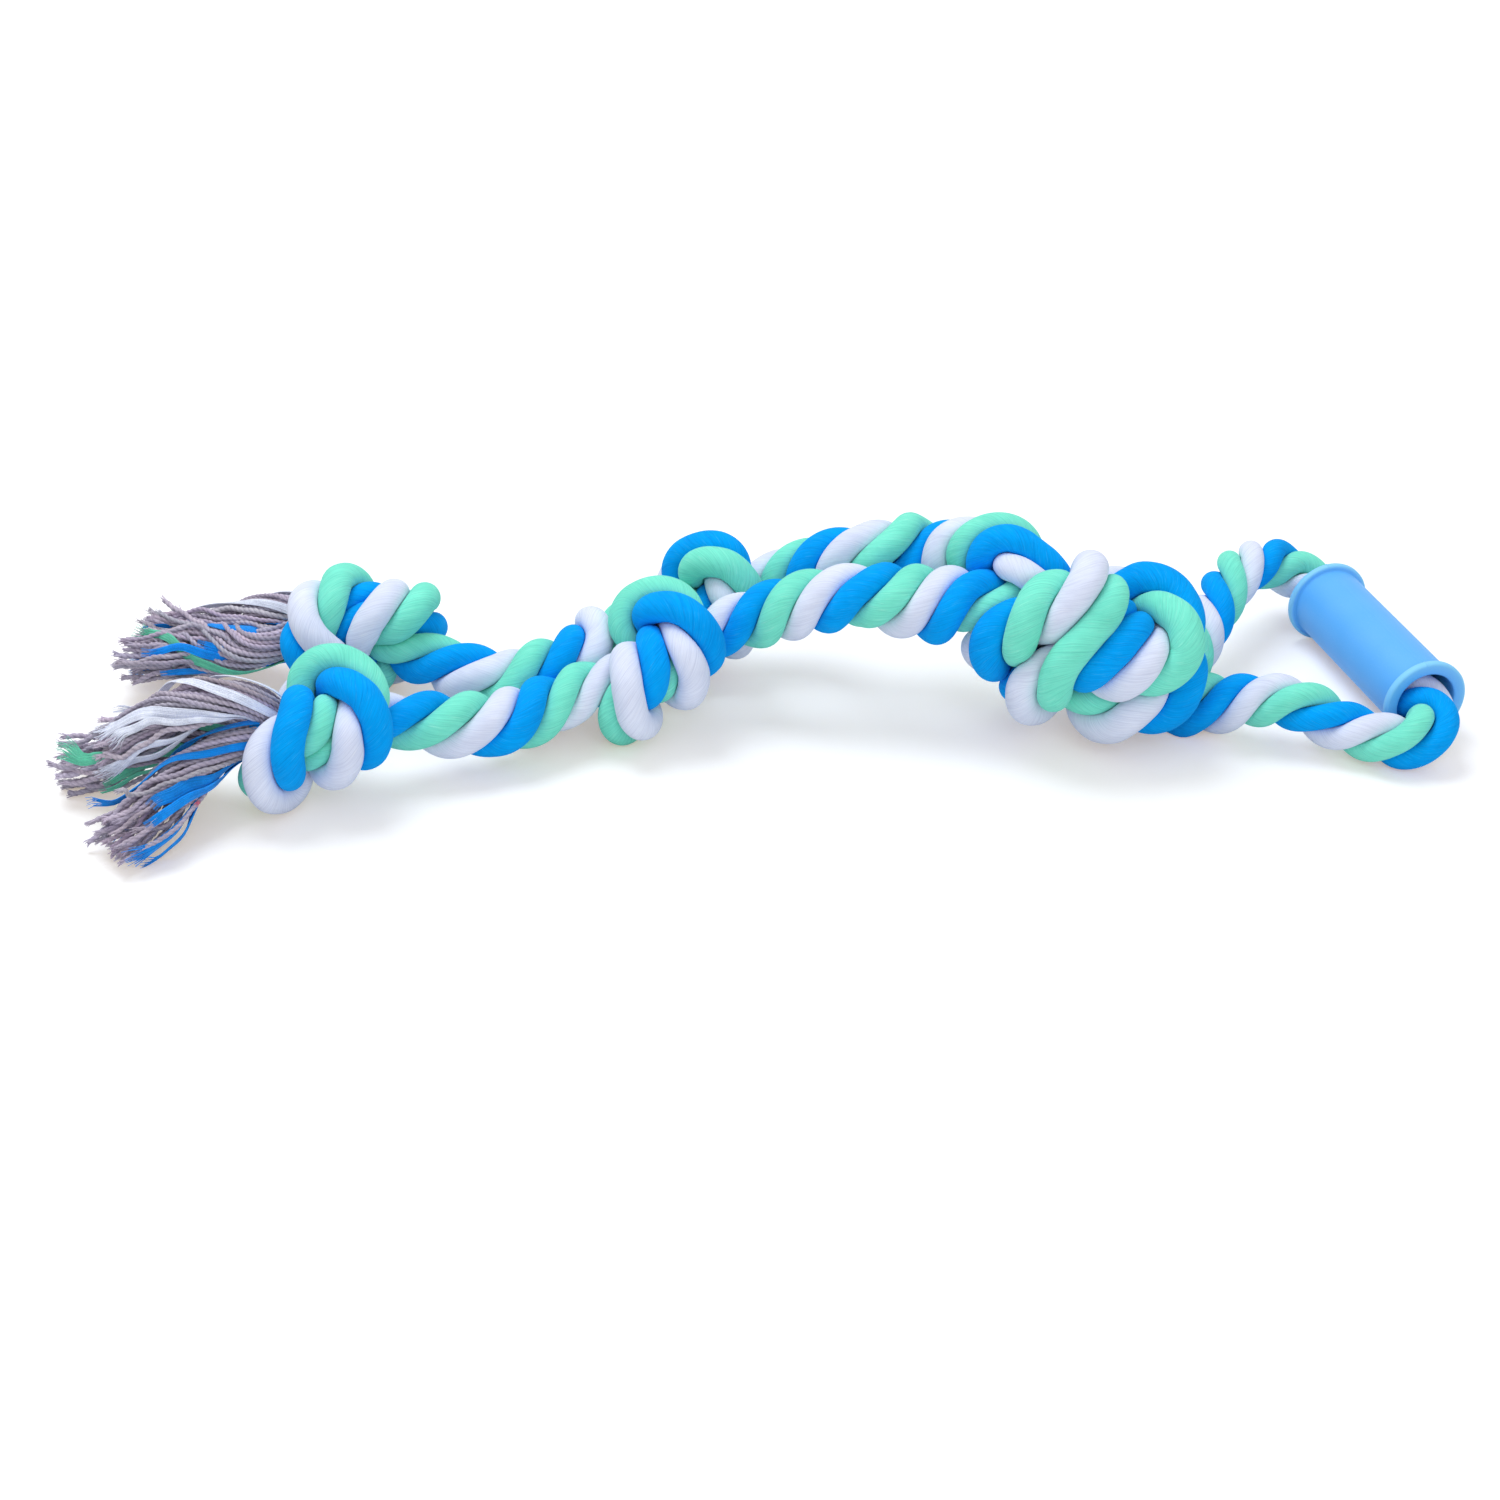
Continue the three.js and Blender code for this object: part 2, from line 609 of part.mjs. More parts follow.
// Sleeve: a tube with a rim at each end
const rimRound = rimThick / 4;
const profile = [
  [sleeveBore / 2, 0],
  [rimOuter / 2 - rimRound, 0],
  [rimOuter / 2, rimRound],
  [rimOuter / 2, rimThick - rimRound],
  [rimOuter / 2 - rimRound, rimThick],
  [sleeveOuter / 2, rimThick],
  [sleeveOuter / 2, sleeveLength - rimThick],
  [rimOuter / 2 - rimRound, sleeveLength - rimThick],
  [rimOuter / 2, sleeveLength - rimThick + rimRound],
  [rimOuter / 2, sleeveLength - rimRound],
  [rimOuter / 2 - rimRound, sleeveLength],
  [sleeveBore / 2, sleeveLength],
  [sleeveBore / 2, 0],
].map(([radius, along]) => new THREE.Vector2(radius, along));
const moulded = new THREE.MeshStandardMaterial({ color: 0x6db7fa, roughness: 0.55, metalness: 0 });
const sleeve = add('sleeve', new THREE.LatheGeometry(profile, sleeveSides), moulded);
sleeve.position.copy(nearRim);
sleeve.quaternion.setFromUnitVectors(new THREE.Vector3(0, 1, 0), sleeveDirection);

// The origin is under the middle of the toy
const box = new THREE.Box3().setFromObject(toy);
const middle = box.getCenter(new THREE.Vector3()).setZ(0);
for (const piece of toy.children) piece.position.sub(middle);

export default toy;
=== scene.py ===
"""Rope dog toy: a three-strand cotton rope folded through a moulded grip sleeve.

Both halves of the rope are tied together in one big knot. Each half then has a middle knot, an end
knot and a frayed tassel. Lengths in the rope's own sums are millimetres, and everything that goes
into the scene is in metres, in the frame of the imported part.
"""

import math

import bmesh
import bpy
import numpy as np
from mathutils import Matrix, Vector


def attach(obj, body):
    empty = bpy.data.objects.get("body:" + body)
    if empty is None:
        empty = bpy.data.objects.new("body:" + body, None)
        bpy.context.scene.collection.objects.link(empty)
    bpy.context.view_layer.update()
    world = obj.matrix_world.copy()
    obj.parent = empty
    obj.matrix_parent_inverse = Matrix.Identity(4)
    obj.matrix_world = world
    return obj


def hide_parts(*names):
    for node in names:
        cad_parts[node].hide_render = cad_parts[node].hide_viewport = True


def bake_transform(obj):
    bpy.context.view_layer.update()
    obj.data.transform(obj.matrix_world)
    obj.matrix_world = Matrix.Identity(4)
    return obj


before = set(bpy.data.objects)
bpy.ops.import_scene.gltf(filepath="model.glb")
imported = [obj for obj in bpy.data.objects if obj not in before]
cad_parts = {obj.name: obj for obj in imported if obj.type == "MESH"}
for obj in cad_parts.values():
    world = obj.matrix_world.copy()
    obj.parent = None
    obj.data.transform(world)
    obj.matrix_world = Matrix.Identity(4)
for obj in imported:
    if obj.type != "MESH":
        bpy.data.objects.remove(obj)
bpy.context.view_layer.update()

FULL_TURN = 2 * math.pi
MM = 0.001
# Middle of the toy in the rope's own sums
MIDDLE = np.array([11.3318, -9.88171, 0.0])


def placed(points):
    """Millimetres of the rope's own sums as metres in the part's frame"""
    return (np.asarray(points, float) - MIDDLE) * MM


# Camera

def place_camera():
    lens = bpy.data.cameras.new("camera")
    lens.sensor_width = 36
    lens.lens = 64.8
    camera = bpy.data.objects.new("camera", lens)
    camera.location = Vector(placed([0, -1170, 715.1]))
    camera.rotation_euler = (math.radians(90 - 32), 0, 0)
    bpy.context.scene.collection.objects.link(camera)
    bpy.context.scene.camera = camera


place_camera()


# Rope: the same strands and knots as the part's, worked out again

STRANDS = ("blue", "white", "mint")
STRAND_OFFSET = 8.75
LAY_LENGTH = 63
FLOOR_SHARE = 0.8
LOOP_SHARE = 0.84
START_TURN = 0.467 * FULL_TURN
# Shares of a full turn by which a knot twists its rope on, and by which it holds it turned inside
TWISTS = [
    ("rear end", 0, 1, -0.333), ("rear mid", 0, 1, -0.1),
    ("big rear", 0, 0.3, 0.15), ("big rear", 0, 1, -0.43), ("big rear", 0.8, 1, -0.333),
    ("sleeve", 0, 1, 0.333),
    ("big front", 0, 1, -0.15), ("big front", 0.7, 1, -0.12),
    ("front mid", 0, 1, -0.39), ("front end", 0, 1, -0.333),
]
HELD_TWISTS = [("rear mid", 0.333)]
KNOT_SHARE = 0.82
BIG_KNOT_SHARE = 0.95
CORE_STEP = -0.17
OUTER_STEP = 0.25
HEART_INSET = 0.7
BIG_HEART_INSET = 1.6
PASS_SHARE, BIG_PASS_SHARE = 0.62, 0.53
LOOSE, BIG_LOOSE = (0.85, 0.85, 2.2), (1.3, 1.4, 2.5)
SWAP = (0.62, 0.8)
BEND_SHARE = 0.6
KNOT_TAIL, KNOT_STUB, BIG_KNOT_TAIL = 46, 28, 58
WINDOW_FADE = 24
BEAD_STEP = 3.75
SPAN_STEPS = 24
# Rounds of drawing taut and how hard: the knots alone, the strands laid in them, and the strands at their
# last thickness
KNOT_ROUNDS, LAY_ROUNDS, EASE_ROUNDS = 3000, 500, 300
KNOT_TAUT, LAY_TAUT, EASE_TAUT = 0.8, 0.8, 0.5

SLEEVE_LENGTH = 111
BORE = 31
SLEEVE_OUTER = 38
RIM_OUTER = 44
RIM_THICK = 4
MOULD_LINE = math.radians(-6)


def smooth(low, high, value):
    share = np.clip((np.asarray(value, float) - low) / (high - low), 0, 1)
    return share * share * (3 - 2 * share)


def nearest_approach(offset, lay):
    """Least distance of two strands' middles that lie a third of a turn apart"""
    along = np.linspace(0, lay / 2, 201)
    angle = FULL_TURN / 3 - FULL_TURN * along / lay
    return np.hypot(2 * offset * np.sin(angle / 2), along).min()


STRAND_APART = nearest_approach(STRAND_OFFSET, LAY_LENGTH)
# Air between the solid strands, and what the straight stretches between their rings take
CLEARANCE, FACET_LOSS = 0.4, 0.9
STRAND_RADIUS = (STRAND_APART - CLEARANCE - FACET_LOSS) / 2
ROPE_WIDTH = 2 * (STRAND_OFFSET + STRAND_APART / 2)


def through(points, shares):
    """Points of the centripetal curve through the given ones, at shares of its spans"""
    points = np.asarray(points, float)
    ends = np.vstack([2 * points[0] - points[1], points, 2 * points[-1] - points[-2]])
    place = np.clip(shares, 0, 1) * (len(points) - 1)
    span = np.minimum(place.astype(int), len(points) - 2)
    w = (place - span)[:, None]
    p0, p1, p2, p3 = (ends[span + step] for step in range(4))

    def root(a, b):
        return ((a - b) ** 2).sum(1)[:, None] ** 0.25

    d0, d1, d2 = root(p0, p1), root(p1, p2), root(p2, p3)
    d1 = np.where(d1 < 1e-4, 1, d1)
    d0 = np.where(d0 < 1e-4, d1, d0)
    d2 = np.where(d2 < 1e-4, d1, d2)
    t1 = ((p1 - p0) / d0 - (p2 - p0) / (d0 + d1) + (p2 - p1) / d1) * d1
    t2 = ((p2 - p1) / d1 - (p3 - p1) / (d1 + d2) + (p3 - p2) / d2) * d1
    return p1 + t1 * w + (3 * (p2 - p1) - 2 * t1 - t2) * w**2 + (2 * (p1 - p2) + t1 + t2) * w**3


def spans(points, divisions):
    shares = np.linspace(0, 1, divisions + 1)
    steps = np.linalg.norm(np.diff(through(points, shares), axis=0), axis=1)
    return shares, np.concatenate([[0], np.cumsum(steps)])


def evenly(points, count, divisions):
    shares, arcs = spans(points, divisions)
    return through(points, np.interp(np.linspace(0, arcs[-1], count), arcs, shares))


def near_pairs(at, apart):
    """Pairs of beads that may touch, each with the least distance wanted"""
    chains, count = at.shape[:2]
    flat = at.reshape(-1, 3)
    bend = BEND_SHARE * apart
    step = np.linalg.norm(np.diff(at, axis=1), axis=2).sum(1) / (count - 1)
    squares = (flat**2).sum(1)
    apart_now = squares[:, None] + squares[None, :] - 2 * flat @ flat.T
    a, b = np.nonzero(np.triu(apart_now <= (1.6 * apart) ** 2, 1))
    chain_a, chain_b = a // count, b // count
    between = np.abs(a % count - b % count)
    same = chain_a == chain_b
    kept = ~same | (between >= 2)
    a, b, same, between, chain_a = (x[kept] for x in (a, b, same, between, chain_a))
    half = np.where(same, np.minimum(between * step[chain_a] / (2 * bend), math.pi / 2), math.pi / 2)
    return a, b, np.minimum(apart, 2 * bend * np.sin(half))


def settle(at, size, free, drawn, apart, rounds, taut, floor):
    """Draws chains of beads taut while near ones push each other away and the floor holds them up"""
    at = at.copy()
    laid = at[:, 1:-1] - (at[:, :-2] + at[:, 2:]) / 2
    laid *= (1 - drawn[:, 1:-1])[..., None]
    ease = free[:, 1:-1][..., None]
    flat = at.reshape(-1, 3)
    size, free = size.ravel(), free.ravel()
    lowest = np.where(free > 0, floor * size, -np.inf) if floor > -1e6 else None
    for turn in range(rounds):
        if turn % 12 == 0:
            a, b, least = near_pairs(at, apart)
            wanted = least * (size[a] + size[b]) / 2
            freedom = free[a] + free[b]
            kept = freedom > 0
            a, b, wanted, freedom = a[kept], b[kept], wanted[kept], freedom[kept]
        pull = taut * (1 - turn / rounds) + taut / 20
        at[:, 1:-1] += ((at[:, :-2] + at[:, 2:]) / 2 - at[:, 1:-1] + laid) * pull * ease
        for _ in range(4):
            gap = flat[a] - flat[b]
            distance = np.sqrt((gap**2).sum(1))
            close = distance < wanted
            i, j = a[close], b[close]
            far = distance[close]
            gap = gap[close] * ((wanted[close] - far) / far / freedom[close] / 2)[:, None]
            for axis in range(3):
                flat[:, axis] += np.bincount(i, gap[:, axis] * free[i], len(flat))
                flat[:, axis] -= np.bincount(j, gap[:, axis] * free[j], len(flat))
            if lowest is not None:
                flat[:, 2] = np.maximum(flat[:, 2], lowest)
    return at


def loose_knot(wide, high, tail, count):
    """The way of an overhand knot that isn't drawn tight yet"""
    opening = math.pi - 0.62
    lead = [(-tail - 2 * wide, -3.2 * wide), (-tail, -3.2 * wide)]
    lead += [(-3.2 * wide, -3 * wide), (-1.9 * wide, -2.65 * wide)]
    t = opening - 2 * opening * np.arange(25) / 24
    along, aside = np.sin(t) + 2 * np.sin(2 * t), np.cos(t) - 2 * np.cos(2 * t)
    turns = np.stack([wide * along, wide * aside, -high * np.sin(3 * t)], 1)
    before = [(x, y, 0) for x, y in lead]
    after = [(-x, y, 0) for x, y in reversed(lead)]
    return evenly(np.vstack([before, turns, after]), count, 200) + [0, 3.2 * wide, 0]


def tight_knot(ropes):
    """The knot drawn tight with one rope, or with two ropes side by side"""
    apart = ROPE_WIDTH * (PASS_SHARE if ropes == 1 else BIG_PASS_SHARE)
    wide, high, tail = (share * apart for share in (LOOSE if ropes == 1 else BIG_LOOSE))
    shape = loose_knot(wide, high, tail, 50 if ropes == 1 else 60)
    last = len(shape) - 1
    steps = np.arange(last + 1)
    along = shape[np.minimum(steps + 1, last)] - shape[np.maximum(steps - 1, 0)]
    side = np.stack([-along[:, 1], along[:, 0], 0 * steps], 1)
    side /= np.linalg.norm(side, axis=1)[:, None]
    swap = math.pi * smooth(*SWAP, steps / last)
    chains = []
    for k in range(ropes):
        aside = (k - (ropes - 1) / 2) * apart
        chain = shape + side * (aside * np.cos(swap))[:, None]
        chain[:, 2] -= aside * np.sin(swap)
        chains.append(chain)
    ones = np.ones((ropes, last + 1))
    free = ones.copy()
    free[:, [0, -1]] = 0
    return settle(np.array(chains), ones, free, ones, apart, KNOT_ROUNDS, KNOT_TAUT, -math.inf)


def placed_knot(points, at, yaw, pitch, roll, before, after):
    """The knot turned and moved to its place, with a length of rope kept before and after it"""
    inside = np.nonzero(points[:, 0] > -before)[0][0], np.nonzero(points[:, 0] < after)[0][-1]
    body = points[np.abs(points[:, 0]) < ROPE_WIDTH]
    centre = (body.min(0) + body.max(0)) / 2 * [0, 1, 1]
    z, y, x = (math.radians(angle) for angle in (yaw, -pitch, roll))
    turn_z = np.array([[math.cos(z), -math.sin(z), 0], [math.sin(z), math.cos(z), 0], [0, 0, 1]])
    turn_y = np.array([[math.cos(y), 0, math.sin(y)], [0, 1, 0], [-math.sin(y), 0, math.cos(y)]])
    turn_x = np.array([[1, 0, 0], [0, math.cos(x), -math.sin(x)], [0, math.sin(x), math.cos(x)]])
    turned = (points[inside[0]:inside[1] + 1] - centre) @ (turn_z @ turn_y @ turn_x).T
    return turned + np.array(at)


NEAR_RIM = np.array([337, -16, RIM_OUTER / 2])
SLEEVE_WAY = np.array([-0.28, 0.96, 0.0])
FAR_RIM = NEAR_RIM + SLEEVE_LENGTH * SLEEVE_WAY


def in_sleeve(share):
    """Middle of the rope where it lies on the floor of the bore"""
    flat = BORE / 2 * math.cos(math.pi / 32)
    loop_radius = (STRAND_OFFSET + STRAND_RADIUS) * LOOP_SHARE
    return NEAR_RIM + share * SLEEVE_LENGTH * SLEEVE_WAY - [0, 0, flat - loop_radius - 0.6]


def rope_route():
    """Points of the rope's middle from the rear tassel to the front tassel, and where its parts begin"""
    single = tight_knot(1)[0]
    big = tight_knot(2)
    route, marks = [], {}

    def lead(points, rim=(0, 0, 0)):
        route.extend(np.array(point) + rim for point in points)

    def mark(name):
        marks[name] = len(route) - 1

    def tie(name, points):
        marks[name + " in"] = len(route)
        route.extend(points)
        mark(name + " out")

    big_place = ([163, -7, 54], 0, -45, 195, KNOT_TAIL, BIG_KNOT_TAIL)
    tie("rear end", placed_knot(single, [-197, 26, 37], -10, -8, 90, KNOT_STUB, KNOT_TAIL))
    lead([[-125, -1, 24]])
    mark("rear section")
    lead([[-80, 14, 30]])
    tie("rear mid", placed_knot(single, [-31, 52, 36], 20, 10, 180, KNOT_TAIL, KNOT_TAIL))
    lead([[60, 43, 74]])
    mark("rear arch")
    lead([[92, 43, 70]])
    tie("big rear", placed_knot(big[0], *big_place))
    lead([[-75, -2, 5], [-42, -14, -5], [-15, -25, -6], [-1, -20, -3]], NEAR_RIM)
    route.append(in_sleeve(0))
    mark("sleeve in")
    route.extend(in_sleeve(share) for share in (0.1, 0.5, 0.9, 1))
    mark("sleeve out")
    lead([[-13, 20.5, 5], [-30, 17.5, 11], [-47, -0.5, 16]], FAR_RIM)
    tie("big front", placed_knot(big[1], *big_place)[::-1])
    lead([[88, 2, 68], [54, 6, 71]])
    mark("front arch")
    tie("front mid", placed_knot(single, [-51, -3, 39], 25, 15, 180, KNOT_TAIL, KNOT_TAIL)[::-1])
    lead([[-124, -41, 25]])
    mark("front section")
    tie("front end", placed_knot(single, [-210, -70, 38], 20, 0, 180, KNOT_STUB, KNOT_TAIL)[::-1])
    return np.array(route), marks


def lay_strands():
    """Beads of the three strands, how far each is drawn into a knot or lies in the loop, and the marks"""
    route, marks = rope_route()
    divisions = SPAN_STEPS * (len(route) - 1)
    arcs = spans(route, divisions)[1]
    count = math.floor(arcs[-1] / BEAD_STEP + 0.5) + 1
    pairs = (count - 1) / 2
    bead_at = {name: 2 * math.floor(arcs[SPAN_STEPS * place] / arcs[-1] * pairs + 0.5)
               for name, place in marks.items()}
    axis = evenly(route, count, divisions)
    steps = np.arange(count)
    fade = WINDOW_FADE / BEAD_STEP

    def window(start, end, wide=fade):
        return smooth(start - wide, start + wide, steps) * (1 - smooth(end - wide, end + wide, steps))

    def drawn_in(knots, inset=0):
        windows = [window(bead_at[name + " in"] + inset, bead_at[name + " out"] - inset) for name in knots]
        return np.max(windows, 0)

    singles, doubles = ("rear end", "rear mid", "front mid", "front end"), ("big rear", "big front")
    single, double = drawn_in(singles), drawn_in(doubles)
    drawn = np.maximum(single, double)
    heart = np.maximum(drawn_in(singles, HEART_INSET * fade), drawn_in(doubles, BIG_HEART_INSET * fade))
    in_loop = window(bead_at["big rear out"], bead_at["big front in"])
    thinner = (1 - KNOT_SHARE) * single + (1 - BIG_KNOT_SHARE) * double
    size = 1 - (1 - LOOP_SHARE) * in_loop - thinner * (1 - in_loop)
    free = np.ones(count)
    for name in ("rear section", "rear arch", "front arch", "front section"):
        free = np.minimum(free, smooth(0, fade, np.abs(steps - bead_at[name])))
    held = smooth(bead_at["sleeve in"] - fade / 4, bead_at["sleeve in"] + fade / 2, steps)
    held = held * (1 - smooth(bead_at["sleeve out"] - fade / 2, bead_at["sleeve out"] + fade / 4, steps))
    free = np.minimum(free, 1 - held)
    twist = steps * BEAD_STEP / LAY_LENGTH
    for name, start, end, share in TWISTS:
        first, length = bead_at[name + " in"], bead_at[name + " out"] - bead_at[name + " in"]
        twist = twist + share * smooth(first + start * length, first + end * length, steps)
    for name, share in HELD_TWISTS:
        twist = twist + share * window(bead_at[name + " in"] + fade, bead_at[name + " out"] - fade)
    turns = START_TURN - FULL_TURN * twist
    tangents = axis[np.minimum(steps + 1, count - 1)] - axis[np.maximum(steps - 1, 0)]
    tangents /= np.linalg.norm(tangents, axis=1)[:, None]
    normals = carried_normals(tangents, [0, 0, 1])
    sides = np.cross(tangents, normals)
    chains = []
    for k in range(3):
        angle = turns + FULL_TURN * k / 3
        out = normals * np.cos(angle)[:, None] + sides * np.sin(angle)[:, None]
        chains.append(axis + out * (STRAND_OFFSET * size)[:, None])
    every = lambda values: np.repeat(values[None, :], 3, 0)
    lowest = FLOOR_SHARE * STRAND_RADIUS
    at = settle(np.array(chains), every(size), every(free), every(drawn), STRAND_APART,
                LAY_ROUNDS, LAY_TAUT, lowest)
    step = CORE_STEP + (OUTER_STEP - CORE_STEP) * openness(at)
    fatness = every(size) + step * every(heart)
    at = settle(at, fatness, every(free), every(drawn), STRAND_APART, EASE_ROUNDS, EASE_TAUT, lowest)
    return at, fatness, bead_at


def openness(at):
    """How open each bead lies: 0 in the heart of a knot, 1 on its outside"""
    count = at.shape[1]
    flat = at.reshape(-1, 3)
    reach = 2 * STRAND_APART
    open_share = np.zeros(len(flat))
    place = np.arange(len(flat))
    for i, point in enumerate(flat):
        away = flat - point
        distance = np.sqrt((away**2).sum(1))
        near = (distance < reach) & ((place // count != i // count) | (np.abs(place - i) > 4))
        if near.any():
            weight = 1 - distance[near] / reach
            pull = (away[near] / distance[near][:, None] * weight[:, None]).sum(0)
            open_share[i] = np.linalg.norm(pull) / weight.sum()
    open_share = smooth(0.12, 0.5, open_share).reshape(3, count)
    for _ in range(6):
        open_share[:, 1:-1] = (open_share[:, :-2] + 2 * open_share[:, 1:-1] + open_share[:, 2:]) / 4
    return open_share


def carried_normals(tangents, start):
    """A normal at each point that turns no more than the line itself does"""
    normals = np.empty_like(tangents)
    normal = np.array(start, float)
    for i, tangent in enumerate(tangents):
        normal = normal - normal.dot(tangent) * tangent
        normal /= math.sqrt(normal.dot(normal))
        normals[i] = normal
    return normals


strand_beads, bead_fatness, bead_at = lay_strands()
LAST_BEAD = strand_beads.shape[1] - 1 - (strand_beads.shape[1] - 1) % 2


# Strands as soft bodies: full where they are free, pressed flat against each other where they touch

FAT_RADIUS = 7.5
UNPRESSED = 99.0
# Least cosine between a point's way out and the way to a neighbour that presses it
FACING = 0.12
# Turns of one strand press each other from this far along it
ALONG_APART = 3.2 * FAT_RADIUS
BEND_SHRINK = 0.92
LOWEST_POINT = 0.25
ROWS_AT_ONCE = 400
RINGS_PER_BEAD = 4
POINTS_ROUND = 36
YARN_TURN = 38.0


def finer(points):
    """Values or points between those of the beads, on a smooth curve"""
    points = np.asarray(points, float)[:LAST_BEAD + 1]
    place = np.linspace(0, LAST_BEAD, LAST_BEAD * RINGS_PER_BEAD + 1)
    if points.ndim == 1:
        return np.interp(place, np.arange(LAST_BEAD + 1), points)
    ends = np.vstack([2 * points[0] - points[1], points, 2 * points[-1] - points[-2]])
    span = np.minimum(place.astype(int), LAST_BEAD - 1)
    w = (place - span)[:, None]
    p0, p1, p2, p3 = (ends[span + step] for step in range(4))
    cubic = 1.5 * (p1 - p2) + (p3 - p0) / 2
    return p1 + (p2 - p0) / 2 * w + (p0 - 2.5 * p1 + 2 * p2 - p3 / 2) * w**2 + cubic * w**3


def soft_least(full, limit, power=14):
    return (full**-power + np.maximum(limit, 0.5) ** -power) ** (-1 / power)


def pressed(centres, full, lengths, out):
    """How far each point of each ring may stand out before it meets the middle plane to a neighbour"""
    rings = centres.shape[1]
    flat, flat_out = centres.reshape(-1, 3), out.reshape(-1, POINTS_ROUND, 3)
    full, lengths = full.ravel(), lengths.ravel()
    chain = np.repeat(np.arange(3), rings)
    limit = np.full((len(flat), POINTS_ROUND), UNPRESSED)
    for first in range(0, len(flat), ROWS_AT_ONCE):
        rows = np.arange(first, min(first + ROWS_AT_ONCE, len(flat)))
        away = flat[None] - flat[rows, None]
        distance = np.sqrt((away**2).sum(2))
        same = chain[rows, None] == chain[None]
        apart = ~same | (np.abs(lengths[rows, None] - lengths[None]) > ALONG_APART)
        i, j = np.nonzero((distance < 2 * FAT_RADIUS + 1) & apart)
        if not len(i):
            continue
        way = away[i, j] / distance[i, j][:, None]
        middle = distance[i, j] * full[rows[i]] / (full[rows[i]] + full[j])
        cosine = np.einsum("nkc,nc->nk", flat_out[rows[i]], way)
        bound = np.where(cosine > FACING, middle[:, None] / np.maximum(cosine, FACING), UNPRESSED)
        starts = np.nonzero(np.diff(i, prepend=-1))[0]
        limit[rows[i[starts]]] = np.minimum.reduceat(bound, starts, axis=0)
    return limit


def strand_rings():
    """Middle of every ring of the strands, its points, the length along the strand and the squeeze there"""
    centres = np.array([finer(chain) for chain in strand_beads])
    full = FAT_RADIUS * np.array([finer(chain) for chain in bead_fatness])
    steps = np.linalg.norm(np.diff(centres, axis=1), axis=2)
    lengths = np.concatenate([np.zeros((3, 1)), np.cumsum(steps, axis=1)], 1)
    tangents = np.gradient(centres, axis=1)
    tangents /= np.linalg.norm(tangents, axis=2)[..., None]
    normals = np.array([carried_normals(line, [0, 0, 1]) for line in tangents])
    sides = np.cross(tangents, normals)
    angles = FULL_TURN * np.arange(POINTS_ROUND) / POINTS_ROUND
    out = normals[:, :, None] * np.cos(angles)[:, None] + sides[:, :, None] * np.sin(angles)[:, None]
    limit = pressed(centres, full, lengths, out).reshape(out.shape[:3])
    bends = np.gradient(tangents, axis=1) / np.gradient(lengths, axis=1)[..., None]
    inward = np.einsum("snkc,snc->snk", out, bends)
    in_bend = np.where(inward > 0.01, BEND_SHRINK / np.maximum(inward, 0.01), UNPRESSED)
    limit = np.minimum(limit, in_bend)
    radius = soft_least(full[..., None], limit)
    for _ in range(2):
        radius[:, 1:-1] = (radius[:, :-2] + 2 * radius[:, 1:-1] + radius[:, 2:]) / 4
        radius = (np.roll(radius, 1, 2) + 2 * radius + np.roll(radius, -1, 2)) / 4
    points = centres[:, :, None] + out * radius[..., None]
    points[..., 2] = np.maximum(points[..., 2], LOWEST_POINT)
    return centres, points, lengths, 1 - radius / full[..., None]


ring_centres, ring_points, ring_lengths, ring_squeeze = strand_rings()


def ring_at(mark, share=0.0, other=None):
    """The ring at a mark, or at a share of the way from it to another mark"""
    bead = bead_at[mark] if other is None else bead_at[mark] + share * (bead_at[other] - bead_at[mark])
    return int(round(min(bead, LAST_BEAD) * RINGS_PER_BEAD))


def buried_ring(k, first, last):
    """The ring between two others that its neighbours cover best"""
    cover = ring_squeeze[k, first:last].min(1) + 0.3 * ring_squeeze[k, first:last].mean(1)
    return first + int(np.argmax(cover))


# Finishes

def material(name):
    made = bpy.data.materials.new(name)
    made.use_nodes = True
    return made, made.node_tree.nodes, made.node_tree.links


def maths(tree, operation, first, second=None, clamp=False):
    made = tree.nodes.new("ShaderNodeMath")
    made.operation = operation
    made.use_clamp = clamp
    for slot, value in enumerate((first, second)):
        if value is None:
            continue
        if isinstance(value, (int, float)):
            made.inputs[slot].default_value = value
        else:
            tree.links.new(value, made.inputs[slot])
    return made.outputs[0]


def mix_colour(tree, share, first, second, blend="MIX"):
    made = tree.nodes.new("ShaderNodeMix")
    made.data_type = "RGBA"
    made.blend_type = blend
    for slot, value in ((0, share), (6, first), (7, second)):
        if isinstance(value, (int, float)):
            made.inputs[slot].default_value = value
        elif isinstance(value, (tuple, list)):
            made.inputs[slot].default_value = (*value, 1) if len(value) == 3 else value
        else:
            tree.links.new(value, made.inputs[slot])
    return made.outputs[2]


def noise(tree, vector, scale, detail=2.0, rough=0.5):
    made = tree.nodes.new("ShaderNodeTexNoise")
    made.inputs["Scale"].default_value = scale
    made.inputs["Detail"].default_value = detail
    made.inputs["Roughness"].default_value = rough
    tree.links.new(vector, made.inputs["Vector"])
    return made.outputs["Fac"]


def stretched(tree, vector, scales):
    made = tree.nodes.new("ShaderNodeVectorMath")
    made.operation = "MULTIPLY"
    tree.links.new(vector, made.inputs[0])
    made.inputs[1].default_value = scales
    return made.outputs[0]


def spread(tree, value, low, high, new_low=0.0, new_high=1.0):
    made = tree.nodes.new("ShaderNodeMapRange")
    tree.links.new(value, made.inputs[0])
    for slot, number in enumerate((low, high, new_low, new_high), 1):
        made.inputs[slot].default_value = number
    return made.outputs[0]


